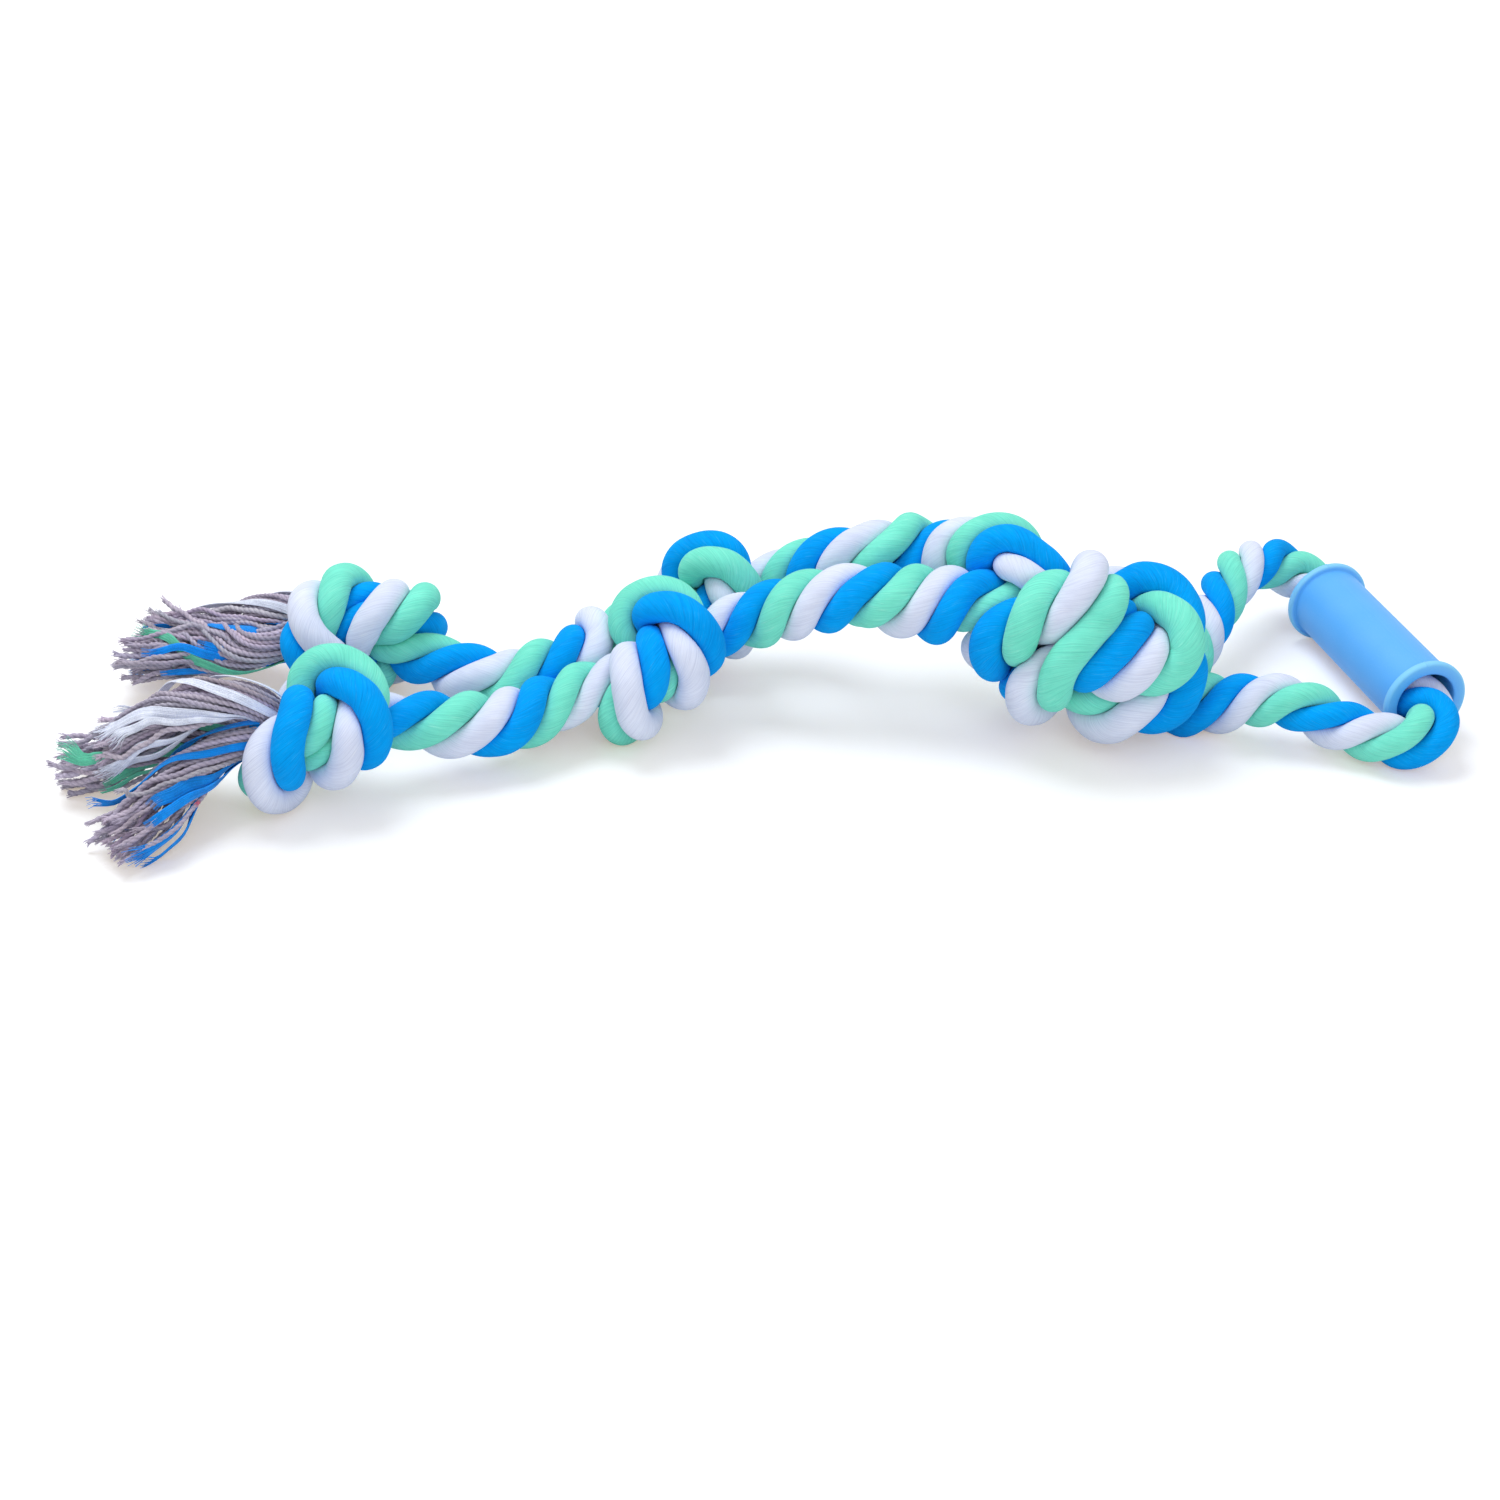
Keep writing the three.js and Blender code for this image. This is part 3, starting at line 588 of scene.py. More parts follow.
def raise_surface(tree, height, strength, distance):
    bump = tree.nodes.new("ShaderNodeBump")
    bump.inputs["Strength"].default_value = strength
    bump.inputs["Distance"].default_value = distance
    tree.links.new(height, bump.inputs["Height"])
    tree.links.new(bump.outputs[0], tree.nodes["Principled BSDF"].inputs["Normal"])


def fibre_group():
    """Fine cotton fibres along the yarn: their colour, with painted shade in the creases, and their height
    """
    tree = bpy.data.node_groups.new("cotton fibres", "ShaderNodeTree")
    face = tree.interface
    for name, kind in (("Yarn", "Vector"), ("Place", "Vector"), ("Crease Shade", "Float"),
                       ("Colour", "Color"), ("Deep And Shade Colour", "Color"), ("Worn Colour", "Color")):
        face.new_socket(name, in_out="INPUT", socket_type="NodeSocket" + kind)
    face.new_socket("Colour", in_out="OUTPUT", socket_type="NodeSocketColor")
    face.new_socket("Height", in_out="OUTPUT", socket_type="NodeSocketFloat")
    given = tree.nodes.new("NodeGroupInput")
    result = tree.nodes.new("NodeGroupOutput")
    yarn, place, crease_shade, colour, deep_and_shade, worn = given.outputs[:6]
    hairs = noise(tree, stretched(tree, yarn, (4200, 4200, 160)), 1.0, 2.0, 0.6)
    plies = noise(tree, stretched(tree, yarn, (1500, 1500, 60)), 1.0, 1.0)
    wear = noise(tree, stretched(tree, yarn, (2600, 2600, 240)), 1.0, 2.0)
    mottle = noise(tree, place, 55.0, 2.0)
    lines = maths(tree, "ADD", maths(tree, "MULTIPLY", hairs, 0.6), maths(tree, "MULTIPLY", plies, 0.4))
    shade = spread(tree, lines, 0.36, 0.54, 0.4, 0.0)
    # Painted shade: where the strands press each other, the cotton is darkened in its creases towards its
    # deeper colour
    shade = maths(tree, "ADD", shade, spread(tree, crease_shade, 0.05, 0.3, 0.0, 1.0), clamp=True)
    dyed = mix_colour(tree, shade, colour, deep_and_shade)
    flecks = maths(tree, "MULTIPLY", spread(tree, wear, 0.6, 0.72), 0.45)
    dyed = mix_colour(tree, flecks, dyed, worn)
    dyed = mix_colour(tree, spread(tree, mottle, 0.3, 0.7, 0.0, 0.22), dyed, deep_and_shade)
    tree.links.new(dyed, result.inputs[0])
    tree.links.new(lines, result.inputs[1])
    return tree


def attribute(tree, name, output="Vector"):
    made = tree.nodes.new("ShaderNodeAttribute")
    made.attribute_name = name
    return made.outputs[output]


FIBRES = fibre_group()


def cotton(name, colour, deep_and_shade, worn):
    made, nodes, links = material(name)
    tree = made.node_tree
    surface = nodes["Principled BSDF"]
    fibres = nodes.new("ShaderNodeGroup")
    fibres.node_tree = FIBRES
    links.new(attribute(tree, "yarn"), fibres.inputs["Yarn"])
    links.new(nodes.new("ShaderNodeTexCoord").outputs["Object"], fibres.inputs["Place"])
    # Painted shade: how hard a point is squeezed sets how dark the cotton is painted in the creases
    links.new(attribute(tree, "squeeze", "Fac"), fibres.inputs["Crease Shade"])
    fibres.inputs["Colour"].default_value = (*colour, 1)
    fibres.inputs["Deep And Shade Colour"].default_value = (*deep_and_shade, 1)
    fibres.inputs["Worn Colour"].default_value = (*worn, 1)
    raise_surface(tree, fibres.outputs["Height"], 0.5, 0.0004)
    links.new(fibres.outputs["Colour"], surface.inputs["Base Color"])
    surface.inputs["Roughness"].default_value = 0.85
    surface.inputs["Specular IOR Level"].default_value = 0.06
    surface.inputs["Sheen Weight"].default_value = 0.15
    surface.inputs["Sheen Roughness"].default_value = 0.5
    surface.inputs["Sheen Tint"].default_value = (*worn, 1)
    return made


# The second colour of each cotton is its deeper tone, which also serves as the painted shade in its creases
COTTON = {
    "blue": cotton("blue cotton", (0.0, 0.395, 1.0), (0.0, 0.13, 0.54), (0.06, 0.52, 1.0)),
    "white": cotton("white cotton", (0.77, 0.83, 1.0), (0.43, 0.47, 0.67), (0.9, 0.92, 0.98)),
    "mint": cotton("mint cotton", (0.22, 0.86, 0.68), (0.06, 0.46, 0.36), (0.5, 0.95, 0.82)),
}


# Strands, in stretches that are cut where the knots or the sleeve hide it

def mesh_object(name, vertices, faces, finish, smooth_faces=True):
    mesh = bpy.data.meshes.new(name)
    mesh.from_pydata([tuple(v) for v in vertices], [], [tuple(f) for f in faces])
    mesh.polygons.foreach_set("use_smooth", [smooth_faces] * len(mesh.polygons))
    mesh.materials.append(finish)
    mesh.update()
    made = bpy.data.objects.new(name, mesh)
    bpy.context.scene.collection.objects.link(made)
    return made


def strand_stretch(name, k, first, last):
    """A closed stretch of one strand, with the place of each point in the yarn"""
    points = ring_points[k, first:last + 1]
    rings = len(points)
    around = np.arange(POINTS_ROUND)
    after = (around + 1) % POINTS_ROUND
    vertices = np.vstack([points.reshape(-1, 3), ring_centres[k, [first, last]]])
    step = (np.arange(rings - 1) * POINTS_ROUND)[:, None]
    corners = [step + around, step + after, step + after + POINTS_ROUND, step + around + POINTS_ROUND]
    faces = np.stack(corners, 2).reshape(-1, 4).tolist()
    end = (rings - 1) * POINTS_ROUND
    faces += [(rings * POINTS_ROUND, b, a) for a, b in zip(around, after)]
    faces += [(rings * POINTS_ROUND + 1, end + a, end + b) for a, b in zip(around, after)]
    made = mesh_object(name, placed(vertices), faces, COTTON[STRANDS[k]])
    length = np.repeat(ring_lengths[k, first:last + 1], POINTS_ROUND)
    angle = np.tile(FULL_TURN * around / POINTS_ROUND, rings) - FULL_TURN * length / YARN_TURN
    yarn = np.stack([FAT_RADIUS * np.cos(angle), FAT_RADIUS * np.sin(angle), length], 1) * MM
    yarn = np.vstack([yarn, yarn[:2] * 0])
    # The squeeze of each point also sets the painted shade in the creases of the cotton
    squeeze = np.append(ring_squeeze[k, first:last + 1].ravel(), [0, 0])
    made.data.attributes.new("yarn", "FLOAT_VECTOR", "POINT").data.foreach_set("vector", yarn.ravel())
    made.data.attributes.new("squeeze", "FLOAT", "POINT").data.foreach_set("value", squeeze)
    return made


# Each stretch with the nodes that it stands for, and the hinge that it bends over: the body that stays,
# the one that turns, the mark at the hinge and the way of the rope there
STRETCHES = [
    ("rear_end_rope", ("rear_end",), ("rear_mid", "rear_end", "rear section", -1)),
    ("rear_rope", ("rear_mid", "rear_arch"), ("loop", "rear_mid", "rear arch", -1)),
    ("near_loop_rope", ("knot_rear", "near_arm", "grip_core"), None),
    ("far_loop_rope", ("far_arm",), None),
    ("front_rope", ("knot_front", "front_arch", "front_mid"), ("loop", "front_mid", "front arch", 1)),
    ("front_end_rope", ("front_end",), ("front_mid", "front_end", "front section", 1)),
]


def cut_rings(k):
    """Rings at which a strand is cut: at its ends, in the sleeve and where the knots hide it best"""

    def hidden(name):
        start, end = (ring_at(name + " in", share, name + " out") for share in (0.3, 0.7))
        return buried_ring(k, start, end)

    middle = ring_at("sleeve in", 0.5, "sleeve out")
    rear, front = [hidden("rear mid"), hidden("big rear")], [hidden("big front"), hidden("front mid")]
    return [0, *rear, middle, *front, LAST_BEAD * RINGS_PER_BEAD]


def strands_of_toy():
    for k, colour in enumerate(STRANDS):
        cuts = cut_rings(k)
        for (name, stands_for, hinge), first, last in zip(STRETCHES, cuts, cuts[1:]):
            piece = strand_stretch(f"{name}_{colour}", k, first, last)
            if hinge:
                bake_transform(piece)
            else:
                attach(piece, "loop")
            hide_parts(*(f"{one}_{colour}" for one in stands_for))


strands_of_toy()


# Grip sleeve: a moulded tube with a rounded rim at each end

def rubber():
    made, nodes, links = material("pale blue moulded rubber")
    tree = made.node_tree
    surface = nodes["Principled BSDF"]
    place = nodes.new("ShaderNodeTexCoord").outputs["Object"]
    cloud = noise(tree, place, 18.0, 2.0)
    grain = noise(tree, place, 1400.0, 2.0, 0.6)
    colour = mix_colour(tree, spread(tree, cloud, 0.35, 0.65), (0.105, 0.435, 0.95), (0.14, 0.47, 0.98))
    # Painted light: the rims get a paler blue that stands in for the light falling on them
    colour = mix_colour(tree, attribute(tree, "rim", "Fac"), colour, (0.23, 0.62, 0.98))
    colour = mix_colour(tree, spread(tree, grain, 0.62, 0.74, 0.0, 0.25), colour, (0.3, 0.6, 0.97))
    links.new(colour, surface.inputs["Base Color"])
    links.new(spread(tree, cloud, 0.3, 0.7, 0.46, 0.54), surface.inputs["Roughness"])
    raise_surface(tree, grain, 0.25, 0.0002)
    surface.inputs["Specular IOR Level"].default_value = 0.3
    return made


def rounded(radius, along, turn_radius, way_in, way_out, steps=6):
    """Points of a rounded corner of the sleeve's outline"""
    a = np.array([radius, along], float)
    start, end = a - np.array(way_in) * turn_radius, a + np.array(way_out) * turn_radius
    t = np.linspace(0, 1, steps)[:, None]
    return list(start * (1 - t) ** 2 + 2 * a * t * (1 - t) + end * t**2)


def sleeve_outline():
    bore, outer, rim, length, thick = BORE / 2, SLEEVE_OUTER / 2, RIM_OUTER / 2, SLEEVE_LENGTH, RIM_THICK
    out, into, up, down = (1, 0), (-1, 0), (0, 1), (0, -1)
    line = rounded(bore, 0, 1.2, down, out)
    line += rounded(rim, 0, 1.6, out, up)
    line += rounded(rim, thick, 1.4, up, into)
    line += rounded(outer, thick, 1.2, into, up)
    line += [np.array([outer, along]) for along in np.linspace(thick + 4, length - thick - 4, 12)]
    line += rounded(outer, length - thick, 1.2, up, out)
    line += rounded(rim, length - thick, 1.4, out, up)
    line += rounded(rim, length, 1.6, up, into)
    line += rounded(bore, length, 1.2, into, down)
    line += [np.array([bore, along]) for along in np.linspace(length - 4, 4, 12)]
    return np.array(line)


def sleeve_points(outline, angles):
    """Points of the sleeve at distances from its axis and along it, for each angle round it"""
    side = np.array([SLEEVE_WAY[1], -SLEEVE_WAY[0], 0])
    round_way = np.cos(angles)[:, None] * [0, 0, 1] + np.sin(angles)[:, None] * side
    return NEAR_RIM + outline[None, :, 1:] * SLEEVE_WAY + round_way[:, None] * outline[None, :, :1]


def make_sleeve():
    """The tube, with the fine line of its mould and the nub that this leaves on the rims"""
    outline = sleeve_outline()
    line_angles = MOULD_LINE + np.radians([-2, -1.2, -0.8, -0.4, 0, 0.4, 0.8, 1.2, 2])
    angles = np.sort(np.concatenate([line_angles, MOULD_LINE + FULL_TURN * np.arange(1, 144) / 144]))
    count, sides = len(outline), len(angles)
    points = sleeve_points(outline, angles)
    axis = sleeve_points(outline * [0, 1], angles)
    outside = smooth(BORE / 2 + 1, SLEEVE_OUTER / 2, outline[:, 0])
    on_rim = smooth(SLEEVE_OUTER / 2 + 0.5, RIM_OUTER / 2 - 0.5, outline[:, 0])
    ridge = np.exp(-((angles - MOULD_LINE) / math.radians(0.7)) ** 2)
    proud = 1 + ridge[:, None] * (0.1 * outside + 0.3 * on_rim) / outline[:, 0]
    vertices = placed(axis + (points - axis) * proud[..., None]).reshape(-1, 3)
    faces = []
    for i in range(sides):
        here, there = i * count, (i + 1) % sides * count
        for j in range(count):
            k = (j + 1) % count
            faces.append((here + j, here + k, there + k, there + j))
    made = mesh_object("grip_sleeve", vertices, faces, rubber())
    # The rim attribute places the painted light of the paler rims
    made.data.attributes.new("rim", "FLOAT", "POINT").data.foreach_set("value", np.tile(on_rim, sides))
    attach(made, "grip")
    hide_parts("sleeve")


make_sleeve()


# Tassels: plied grey yarn and locks of loose dyed fibre, grown along guides

YARN_THICK = 1.32
YARNS, FLECKED = 36, (30, 34)
SEEDS = {"front": 11, "rear": 29}
GOLDEN_ANGLE = 2.39996
HOOKED_SHARE = 0.1
LOOSE_ENDS = 10
GUIDE_POINTS = 30
ROOT_RADIUS = 8
# Tip, rise of the middle and number of fibre locks of each bundle
BUNDLES = {
    "front": {
        "blue": ([-298, -128, 12], 2, 6),
        "mint": ([-336, -62, 13], 0, 6),
        "white": ([-309, -76, 34], 9, 6),
    },
    "rear": {
        "blue": ([-322, 31, 20], 4, 8),
        "mint": ([-312, 50, 24], -6, 2),
        "white": ([-316, 60, 16], -7, 4),
    },
}
CLUMP_WIDE, CLUMP_HIGH = 18, 13
YARN_ROUNDS = 60
YARN_STEP, YARN_PITCH, PLY_DEPTH, YARN_SIDES = 0.001, 0.0066, 0.11, 10
FIBRE_STEP, FIBRE_SIDES = 0.003, 5
TINTS = {
    "grey": (0.53, 0.475, 0.59),
    "blue": (0.003, 0.29, 0.88),
    "white": (0.82, 0.87, 1.0),
    "mint": (0.14, 0.62, 0.42),
    "fleck": (0.8, 0.12, 0.2),
}


def yarn_tree():
    """Turns guide lines into yarn of two plies, as thick as the guides say"""
    tree = bpy.data.node_groups.new("plied yarn", "GeometryNodeTree")
    face = tree.interface
    face.new_socket("Guides", in_out="INPUT", socket_type="NodeSocketGeometry")
    for name in ("Step", "Turn Length", "Ply Depth"):
        face.new_socket(name, in_out="INPUT", socket_type="NodeSocketFloat")
    face.new_socket("Faces Round", in_out="INPUT", socket_type="NodeSocketInt")
    face.new_socket("Yarn", in_out="INPUT", socket_type="NodeSocketMaterial")
    face.new_socket("Yarns", in_out="OUTPUT", socket_type="NodeSocketGeometry")
    nodes, links = tree.nodes, tree.links

    def add(kind, **inputs):
        made = nodes.new(kind)
        for name, value in inputs.items():
            socket = made.inputs[name.replace("_", " ")]
            if hasattr(value, "is_output"):
                links.new(value, socket)
            else:
                socket.default_value = value
        return made

    def math_node(operation, first, second):
        made = nodes.new("ShaderNodeMath")
        made.operation = operation
        for slot, value in enumerate((first, second)):
            if hasattr(value, "is_output"):
                links.new(value, made.inputs[slot])
            else:
                made.inputs[slot].default_value = value
        return made.outputs[0]

    given = nodes.new("NodeGroupInput").outputs
    curves = add("GeometryNodeMeshToCurve", Mesh=given["Guides"]).outputs[0]
    resample = nodes.new("GeometryNodeResampleCurve")
    resample.mode = "LENGTH"
    links.new(curves, resample.inputs["Curve"])
    links.new(given["Step"], resample.inputs["Length"])
    length = nodes.new("GeometryNodeSplineParameter").outputs["Length"]
    phase = add("GeometryNodeInputNamedAttribute", Name="phase").outputs["Attribute"]
    thick = add("GeometryNodeInputNamedAttribute", Name="thick").outputs["Attribute"]
    turns = math_node("DIVIDE", length, given["Turn Length"])
    tilt = math_node("ADD", math_node("MULTIPLY", turns, FULL_TURN), phase)
    tilted = add("GeometryNodeSetCurveTilt", Curve=resample.outputs[0], Tilt=tilt).outputs[0]
    sized = add("GeometryNodeSetCurveRadius", Curve=tilted, Radius=thick).outputs[0]
    ring = add("GeometryNodeCurvePrimitiveCircle", Resolution=given["Faces Round"], Radius=1.0).outputs[0]
    at = nodes.new("GeometryNodeInputPosition").outputs[0]
    split = nodes.new("ShaderNodeSeparateXYZ")
    links.new(at, split.inputs[0])
    lobes = math_node("SUBTRACT", math_node("MULTIPLY", split.outputs[0], split.outputs[0]),
                      math_node("MULTIPLY", split.outputs[1], split.outputs[1]))
    grown = math_node("ADD", math_node("MULTIPLY", lobes, given["Ply Depth"]), 0.9)
    scaled = nodes.new("ShaderNodeVectorMath")
    scaled.operation = "SCALE"
    links.new(at, scaled.inputs[0])
    links.new(grown, scaled.inputs["Scale"])
    # The furrow between the plies is stored to place the painted shade of the yarn there
    marked = add("GeometryNodeStoreNamedAttribute", Geometry=ring, Name="groove_shade", Value=lobes)
    shaped = add("GeometryNodeSetPosition", Geometry=marked.outputs[0], Position=scaled.outputs[0])
    tube = nodes.new("GeometryNodeCurveToMesh")
    links.new(sized, tube.inputs["Curve"])
    links.new(shaped.outputs[0], tube.inputs["Profile Curve"])
    tube.inputs["Fill Caps"].default_value = True
    if "Scale" in tube.inputs:
        links.new(thick, tube.inputs["Scale"])
    soft = add("GeometryNodeSetShadeSmooth", Geometry=tube.outputs[0]).outputs[0]
    real = add("GeometryNodeRealizeInstances", Geometry=soft).outputs[0]
    done = add("GeometryNodeSetMaterial", Geometry=real, Material=given["Yarn"]).outputs[0]
    links.new(done, nodes.new("NodeGroupOutput").inputs[0])
    return tree


def yarn_finish():
    made, nodes, links = material("tassel yarn")
    tree = made.node_tree
    surface = nodes["Principled BSDF"]
    place = nodes.new("ShaderNodeTexCoord").outputs["Object"]
    fuzz = noise(tree, place, 1900.0, 3.0, 0.7)
    tone = noise(tree, place, 160.0, 2.0)
    tint = attribute(tree, "tint", "Color")
    dark = mix_colour(tree, 1.0, tint, (0.72, 0.73, 0.78), "MULTIPLY")
    pale = mix_colour(tree, 1.0, tint, (1.25, 1.25, 1.22), "MULTIPLY")
    colour = mix_colour(tree, spread(tree, fuzz, 0.35, 0.6), dark, tint)
    colour = mix_colour(tree, spread(tree, tone, 0.45, 0.75, 0.0, 0.6), colour, pale)
    # Painted shade: the yarn is darkened in the furrow between its two plies
    groove_shade = mix_colour(tree, 1.0, tint, (0.5, 0.5, 0.56), "MULTIPLY")
    groove_shade_mask = spread(tree, attribute(tree, "groove_shade", "Fac"), -0.2, -0.8, 0.0, 0.42)
    colour = mix_colour(tree, groove_shade_mask, colour, groove_shade)
    links.new(colour, surface.inputs["Base Color"])
    raise_surface(tree, fuzz, 0.5, 0.0003)
    surface.inputs["Roughness"].default_value = 0.9
    surface.inputs["Specular IOR Level"].default_value = 0.15
    surface.inputs["Sheen Weight"].default_value = 0.2
    return made


YARN_TREE, YARN_FINISH = yarn_tree(), yarn_finish()


class Lines:
    """Lines to be turned into yarn or fibre, each with its thicknesses and tints"""

    def __init__(self):
        self.points, self.thick, self.tint = [], [], []

    def add(self, points, thick, tint):
        self.points.append(np.column_stack([points[:, :2], np.maximum(points[:, 2], thick)]))
        self.thick.append(thick)
        self.tint.append(np.broadcast_to(tint, (len(points), 3)))

    def grown(self, chance, step, turn_length, depth, sides):
        """The mesh that the yarn tree makes of the lines"""
        sizes = [len(line) for line in self.points]
        starts = np.concatenate([[0], np.cumsum(sizes)[:-1]])
        edges = [(at, at + 1) for start, size in zip(starts, sizes) for at in range(start, start + size - 1)]
        mesh = bpy.data.meshes.new("guides")
        mesh.from_pydata([tuple(p) for p in placed(np.vstack(self.points))], edges, [])
        thick = np.concatenate(self.thick) * MM
        mesh.attributes.new("thick", "FLOAT", "POINT").data.foreach_set("value", thick)
        phase = np.repeat(chance.uniform(0, FULL_TURN, len(sizes)), sizes)
        mesh.attributes.new("phase", "FLOAT", "POINT").data.foreach_set("value", phase)
        colours = np.ones((sum(sizes), 4))
        colours[:, :3] = np.vstack(self.tint)
        mesh.attributes.new("tint", "FLOAT_COLOR", "POINT").data.foreach_set("color", colours.ravel())
        guide = bpy.data.objects.new("guides", mesh)
        bpy.context.scene.collection.objects.link(guide)
        modifier = guide.modifiers.new("yarn", "NODES")
        modifier.node_group = YARN_TREE
        inputs = [item for item in YARN_TREE.interface.items_tree if item.in_out == "INPUT"]
        sockets = {item.name: item.identifier for item in inputs}
        modifier[sockets["Yarn"]] = YARN_FINISH
        modifier[sockets["Step"]] = step * 1
        modifier[sockets["Turn Length"]] = turn_length
        modifier[sockets["Ply Depth"]] = depth
        modifier[sockets["Faces Round"]] = sides
        bpy.context.view_layer.update()
        graph = bpy.context.evaluated_depsgraph_get()
        made = bpy.data.meshes.new_from_object(
            guide.evaluated_get(graph), preserve_all_data_layers=True, depsgraph=graph)
        bpy.data.objects.remove(guide)
        bpy.data.meshes.remove(mesh)
        return made


def joined(name, parts):
    """One object of several meshes"""
    whole = bmesh.new()
    for part in parts:
        whole.from_mesh(part)
        bpy.data.meshes.remove(part)
    for vertex in whole.verts:
        vertex.co.z = max(vertex.co.z, 0.0002)
    mesh = bpy.data.meshes.new(name)
    whole.to_mesh(mesh)
    whole.free()
    mesh.materials.append(YARN_FINISH)
    made = bpy.data.objects.new(name, mesh)
    bpy.context.scene.collection.objects.link(made)
    return made


def bezier(points, count):
    t = np.linspace(0, 1, count)[:, None]
    a, b, c, d = (np.asarray(p, float) for p in points)
    return a * (1 - t) ** 3 + 3 * b * t * (1 - t) ** 2 + 3 * c * t**2 * (1 - t) + d * t**3


def unit(vectors):
    return vectors / np.linalg.norm(vectors, axis=-1, keepdims=True)


def across(way, chance):
    """A random direction square to a way"""
    loose = chance.normal(size=3)
    return unit(loose - loose.dot(way) * way)


def bundle_guides(root, way, tip, rise, chance):
    """Guides of one strand's yarns: wound together at the root, spread over a clump at the tip"""
    tip = np.array(tip, float)
    span = np.linalg.norm(tip - root)
    lie = unit((tip - root) * [1, 1, 0.3])
    heart = bezier([root - 4 * way, root + way * span * 0.34, tip - lie * span * 0.35, tip], GUIDE_POINTS)
    heart[:, 2] += rise * np.sin(np.linspace(0, math.pi, GUIDE_POINTS) ** 0.8 * math.pi**0.2)
    along = unit(np.gradient(heart, axis=0))
    up = np.array([0, 0, 1.0]) - along * along[:, 2:]
    up = unit(up)
    side = np.cross(along, up)
    t = np.linspace(0, 1, GUIDE_POINTS)
    open_share = smooth(0, 0.85, t)
    wind = 2.6 * (1 - smooth(0, 0.8, t))
    guides = []
    for i in range(YARNS):
        share, turn = math.sqrt((i + 0.5) / YARNS), GOLDEN_ANGLE * i
        angle = turn + wind
        wide = share * (ROOT_RADIUS + (CLUMP_WIDE - ROOT_RADIUS) * open_share) * np.cos(angle)
        high = share * (ROOT_RADIUS + (CLUMP_HIGH - ROOT_RADIUS) * open_share) * np.sin(angle)
        line = heart + side * wide[:, None] + up * high[:, None]
        line += (lie * chance.uniform(-9, 2.5) + chance.normal(0, 1.5, 3)) * (t**2)[:, None]
        for length, size in ((chance.uniform(40, 65), 1.9), (chance.uniform(14, 24), 0.8)):
            swing = size * smooth(0.15, 0.7, t) * np.sin(FULL_TURN * (t * span / length + chance.random()))
            line += swing[:, None] * across(lie, chance)
        line += across(lie, chance) * (chance.exponential(1.6) * smooth(0.75, 1, t) ** 2)[:, None]
        if chance.random() < HOOKED_SHARE:
            hook, wide = chance.uniform(0.9, 2.0) * smooth(0.66, 1, t), chance.uniform(7, 12)
            line += across(lie, chance) * (wide * (1 - np.cos(hook)))[:, None]
            line += lie * (wide * (np.sin(hook) - hook))[:, None]
        line[:, 2] = np.maximum(line[:, 2], 1.4)
        guides.append(line)
    return np.array(guides)


def make_tassel(side, end, inner):
    """Three bundles of yarn that grow out of the end knot, and lie on the floor together"""
    chance = np.random.default_rng(SEEDS[side])
    bundles = {}
    for k, colour in enumerate(STRANDS):
        root = strand_beads[k, end]
        way = unit(root - strand_beads[k, inner])
        tip, rise, locks = BUNDLES[side][colour]
        bundles[colour] = bundle_guides(root, way, tip, rise, chance)
    every = np.concatenate(list(bundles.values()))
    shape = every.shape[:2]
    free = np.ones(shape)
    free[:, :2] = 0
    every = settle(every, np.ones(shape), free, np.zeros(shape), 1.9 * YARN_THICK, YARN_ROUNDS, 0.15, 1.1)
    every = every.reshape(3, -1, *every.shape[1:])
    for k, colour in enumerate(STRANDS):
        yarns, fibres = Lines(), Lines()
        heart = every[k].mean(0)
        locks = YARNS - 1 - 2 * np.arange(BUNDLES[side][colour][2])
        for i, guide in enumerate(every[k]):
            if i in locks:
                fibre_lock(guide, heart, TINTS[colour], chance, fibres)
            else:
                flecked = side == "front" and colour == "blue" and i in FLECKED
                plain_yarn(guide, flecked, chance, yarns, fibres)
        parts = [
            yarns.grown(chance, YARN_STEP, YARN_PITCH, PLY_DEPTH, YARN_SIDES),
            fibres.grown(chance, FIBRE_STEP, 1.0, 0.0, FIBRE_SIDES),
        ]
        piece = joined(f"{side}_tassel_yarn_{colour}", parts)
        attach(piece, f"{side}_end")
        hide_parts(f"{side}_tassel_{colour}")


def plain_yarn(guide, flecked, chance, yarns, fibres):
    """One plied yarn with a few loose fibres at its cut end"""
    tint = np.array(TINTS["grey"]) * chance.normal(1, 0.09) * chance.normal(1, 0.025, 3)
    tints = np.repeat(tint[None], len(guide), 0)
    if flecked:
        tints[17 + chance.integers(0, 6)] = TINTS["fleck"]
    width = np.full(len(guide), YARN_THICK) * chance.normal(1, 0.07)
    width[-1] *= 0.75
    yarns.add(guide, width, tints)
    way = unit(guide[-1] - guide[-3])
    for _ in range(LOOSE_ENDS):
        bend = across(way, chance) * chance.uniform(0.3, 2.0)
        t = np.linspace(0, 1, 5)[:, None]
        line = guide[-2] + way * t * chance.uniform(3.4, 5.4) + bend * t**2 + across(way, chance) * 0.7
        fibres.add(line, np.linspace(0.42, 0.18, 5), tint * chance.normal(1.1, 0.06))


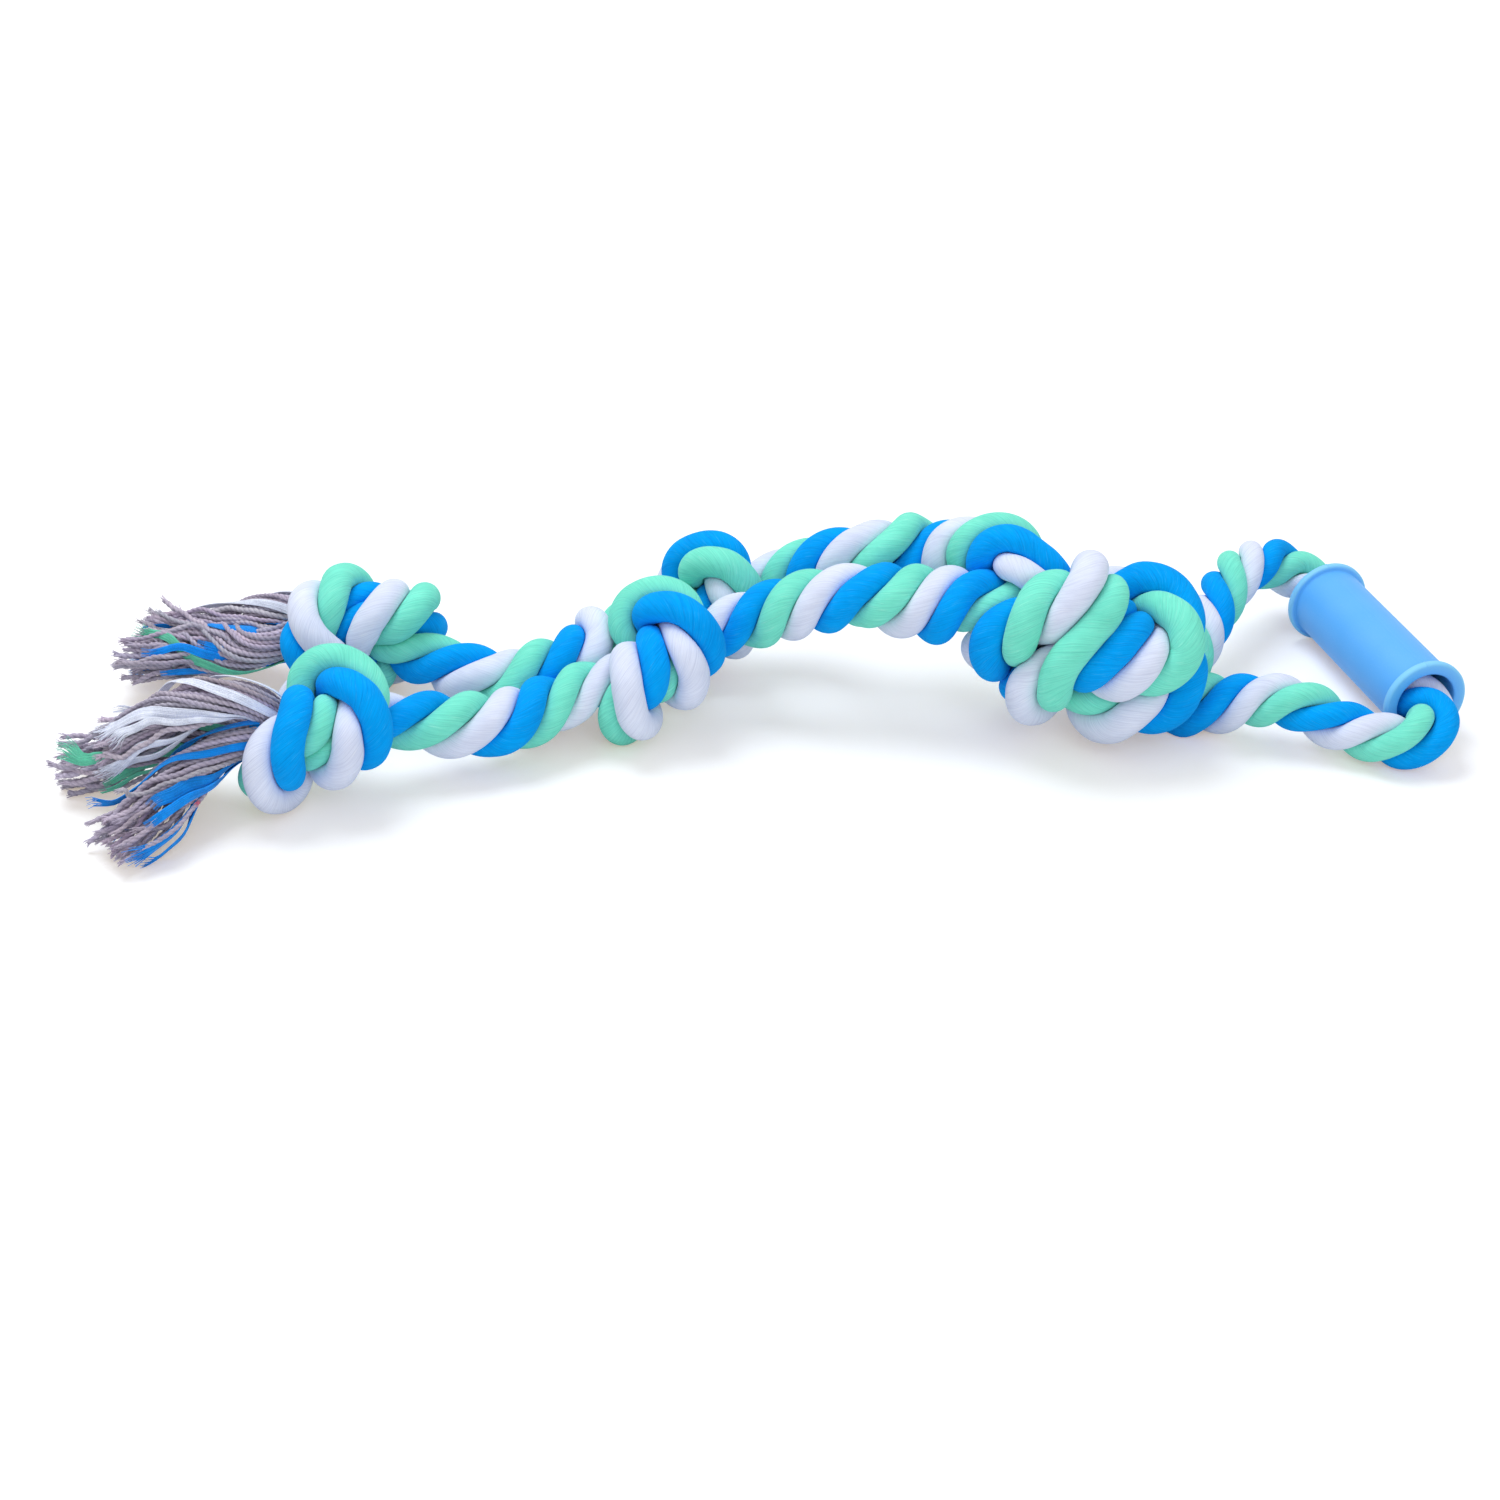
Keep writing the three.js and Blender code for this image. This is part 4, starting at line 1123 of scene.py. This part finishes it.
def fibre_lock(guide, heart, tint, chance, fibres):
    """A flat lock of untwisted dyed fibre that lies over the bundle's outside and frays at its tip"""
    along = unit(np.gradient(guide, axis=0))
    out = guide - heart
    out = unit(out - (out * along).sum(1)[:, None] * along)
    flat = np.cross(along, out)
    t = np.linspace(0, 1, len(guide))
    count = int(chance.integers(13, 22))
    ends = int(chance.integers(2, 12)) if chance.random() < 0.4 else 0
    fray = 1 + 1.2 * smooth(0.84, 1, t)
    sway, tone = chance.random(), chance.normal(1, 0.06)
    for i in range(count):
        aside = (i - (count - 1) / 2) * 0.29
        wave = 0.5 * np.sin(FULL_TURN * (t * 1.7 + sway + 0.15 * i / count)) + chance.normal(0, 0.06)
        lifted = 1.2 - aside**2 / 14 + chance.normal(0, 0.07)
        lifted = lifted + 0.25 * np.sin(FULL_TURN * (t * 3 + sway + 0.4 * i / count))
        line = guide + flat * ((aside + wave) * fray)[:, None] + out * lifted[:, None]
        line += across(along[-1], chance) * (chance.uniform(0, 2.4) * smooth(0.88, 1, t) ** 2)[:, None]
        line = line[: len(line) - ends - int(chance.integers(0, 2))]
        thick = np.full(len(line), 0.34)
        thick[-2:] = 0.14
        fibres.add(line, thick, np.array(tint) * tone * chance.normal(1, 0.07))


make_tassel("rear", 0, 2)
make_tassel("front", LAST_BEAD, LAST_BEAD - 2)


# Floor, light and surroundings

def backdrop_rays(tree, rays):
    seen = maths(tree, "MAXIMUM", rays["Is Camera Ray"], rays["Is Glossy Ray"])
    return maths(tree, "MAXIMUM", seen, rays["Is Transmission Ray"])


def floor_finish():
    made, nodes, links = material("white paper floor")
    tree = made.node_tree
    surface = nodes["Principled BSDF"]
    place = nodes.new("ShaderNodeTexCoord").outputs["Object"]
    paper = noise(tree, place, 3.0, 2.0)
    rays = nodes.new("ShaderNodeLightPath").outputs
    lit = mix_colour(tree, paper, (0.8, 0.8, 0.8), (0.82, 0.82, 0.82))
    # Painted light: for camera rays the floor's base colour is cooler, so that with the warm glow below the
    # toy's blue-tinged shadow reads neutral grey
    seen_painted_tint = mix_colour(tree, paper, (0.73, 0.81, 0.9), (0.74, 0.82, 0.91))
    links.new(mix_colour(tree, rays["Is Camera Ray"], lit, seen_painted_tint), surface.inputs["Base Color"])
    surface.inputs["Roughness"].default_value = 0.9
    surface.inputs["Specular IOR Level"].default_value = 0.1
    length = nodes.new("ShaderNodeVectorMath")
    length.operation = "LENGTH"
    links.new(place, length.inputs[0])
    far = spread(tree, length.outputs["Value"], 0.6, 1.4)
    # Painted light: near the toy the floor glows weaker and warm for the rays that see the backdrop, lifting
    # and tinting the toy's shadow; further out it glows white
    links.new(mix_colour(tree, far, (1, 0.79, 0.55), (1, 1, 1)), surface.inputs["Emission Color"])
    strength = spread(tree, far, 0, 1, 0.36, 1)
    seen = maths(tree, "MULTIPLY", backdrop_rays(tree, rays), strength)
    links.new(seen, surface.inputs["Emission Strength"])
    return made


def make_floor():
    wide = 5.0
    corners = [(-wide, -wide, 0), (wide, -wide, 0), (wide, wide, 0), (-wide, wide, 0)]
    made = mesh_object("floor", corners, [(0, 1, 2, 3)], floor_finish(), False)


def area_light(name, at, towards, size, power):
    lamp = bpy.data.lights.new(name, "AREA")
    lamp.shape = "DISK"
    lamp.size = size
    lamp.energy = power
    made = bpy.data.objects.new(name, lamp)
    made.location = at
    made.rotation_euler = (Vector(towards) - Vector(at)).to_track_quat("-Z", "Y").to_euler()
    bpy.context.scene.collection.objects.link(made)


SKY = 0.62


def light_toy():
    world = bpy.data.worlds.new("studio")
    bpy.context.scene.world = world
    world.use_nodes = True
    tree = world.node_tree
    sky = tree.nodes["Background"]
    sky.inputs["Color"].default_value = (1, 1, 1, 1)
    seen = backdrop_rays(tree, tree.nodes.new("ShaderNodeLightPath").outputs)
    tree.links.new(spread(tree, seen, 0, 1, SKY, 1), sky.inputs["Strength"])
    area_light("top light", (-0.5, 0.5, 1.9), (0, 0, 0), 1.3, 22)
    area_light("front light", (0.4, -1.6, 1.2), (0, 0, 0), 1.2, 8)
    bpy.context.scene.view_settings.view_transform = "Standard"


make_floor()
light_toy()
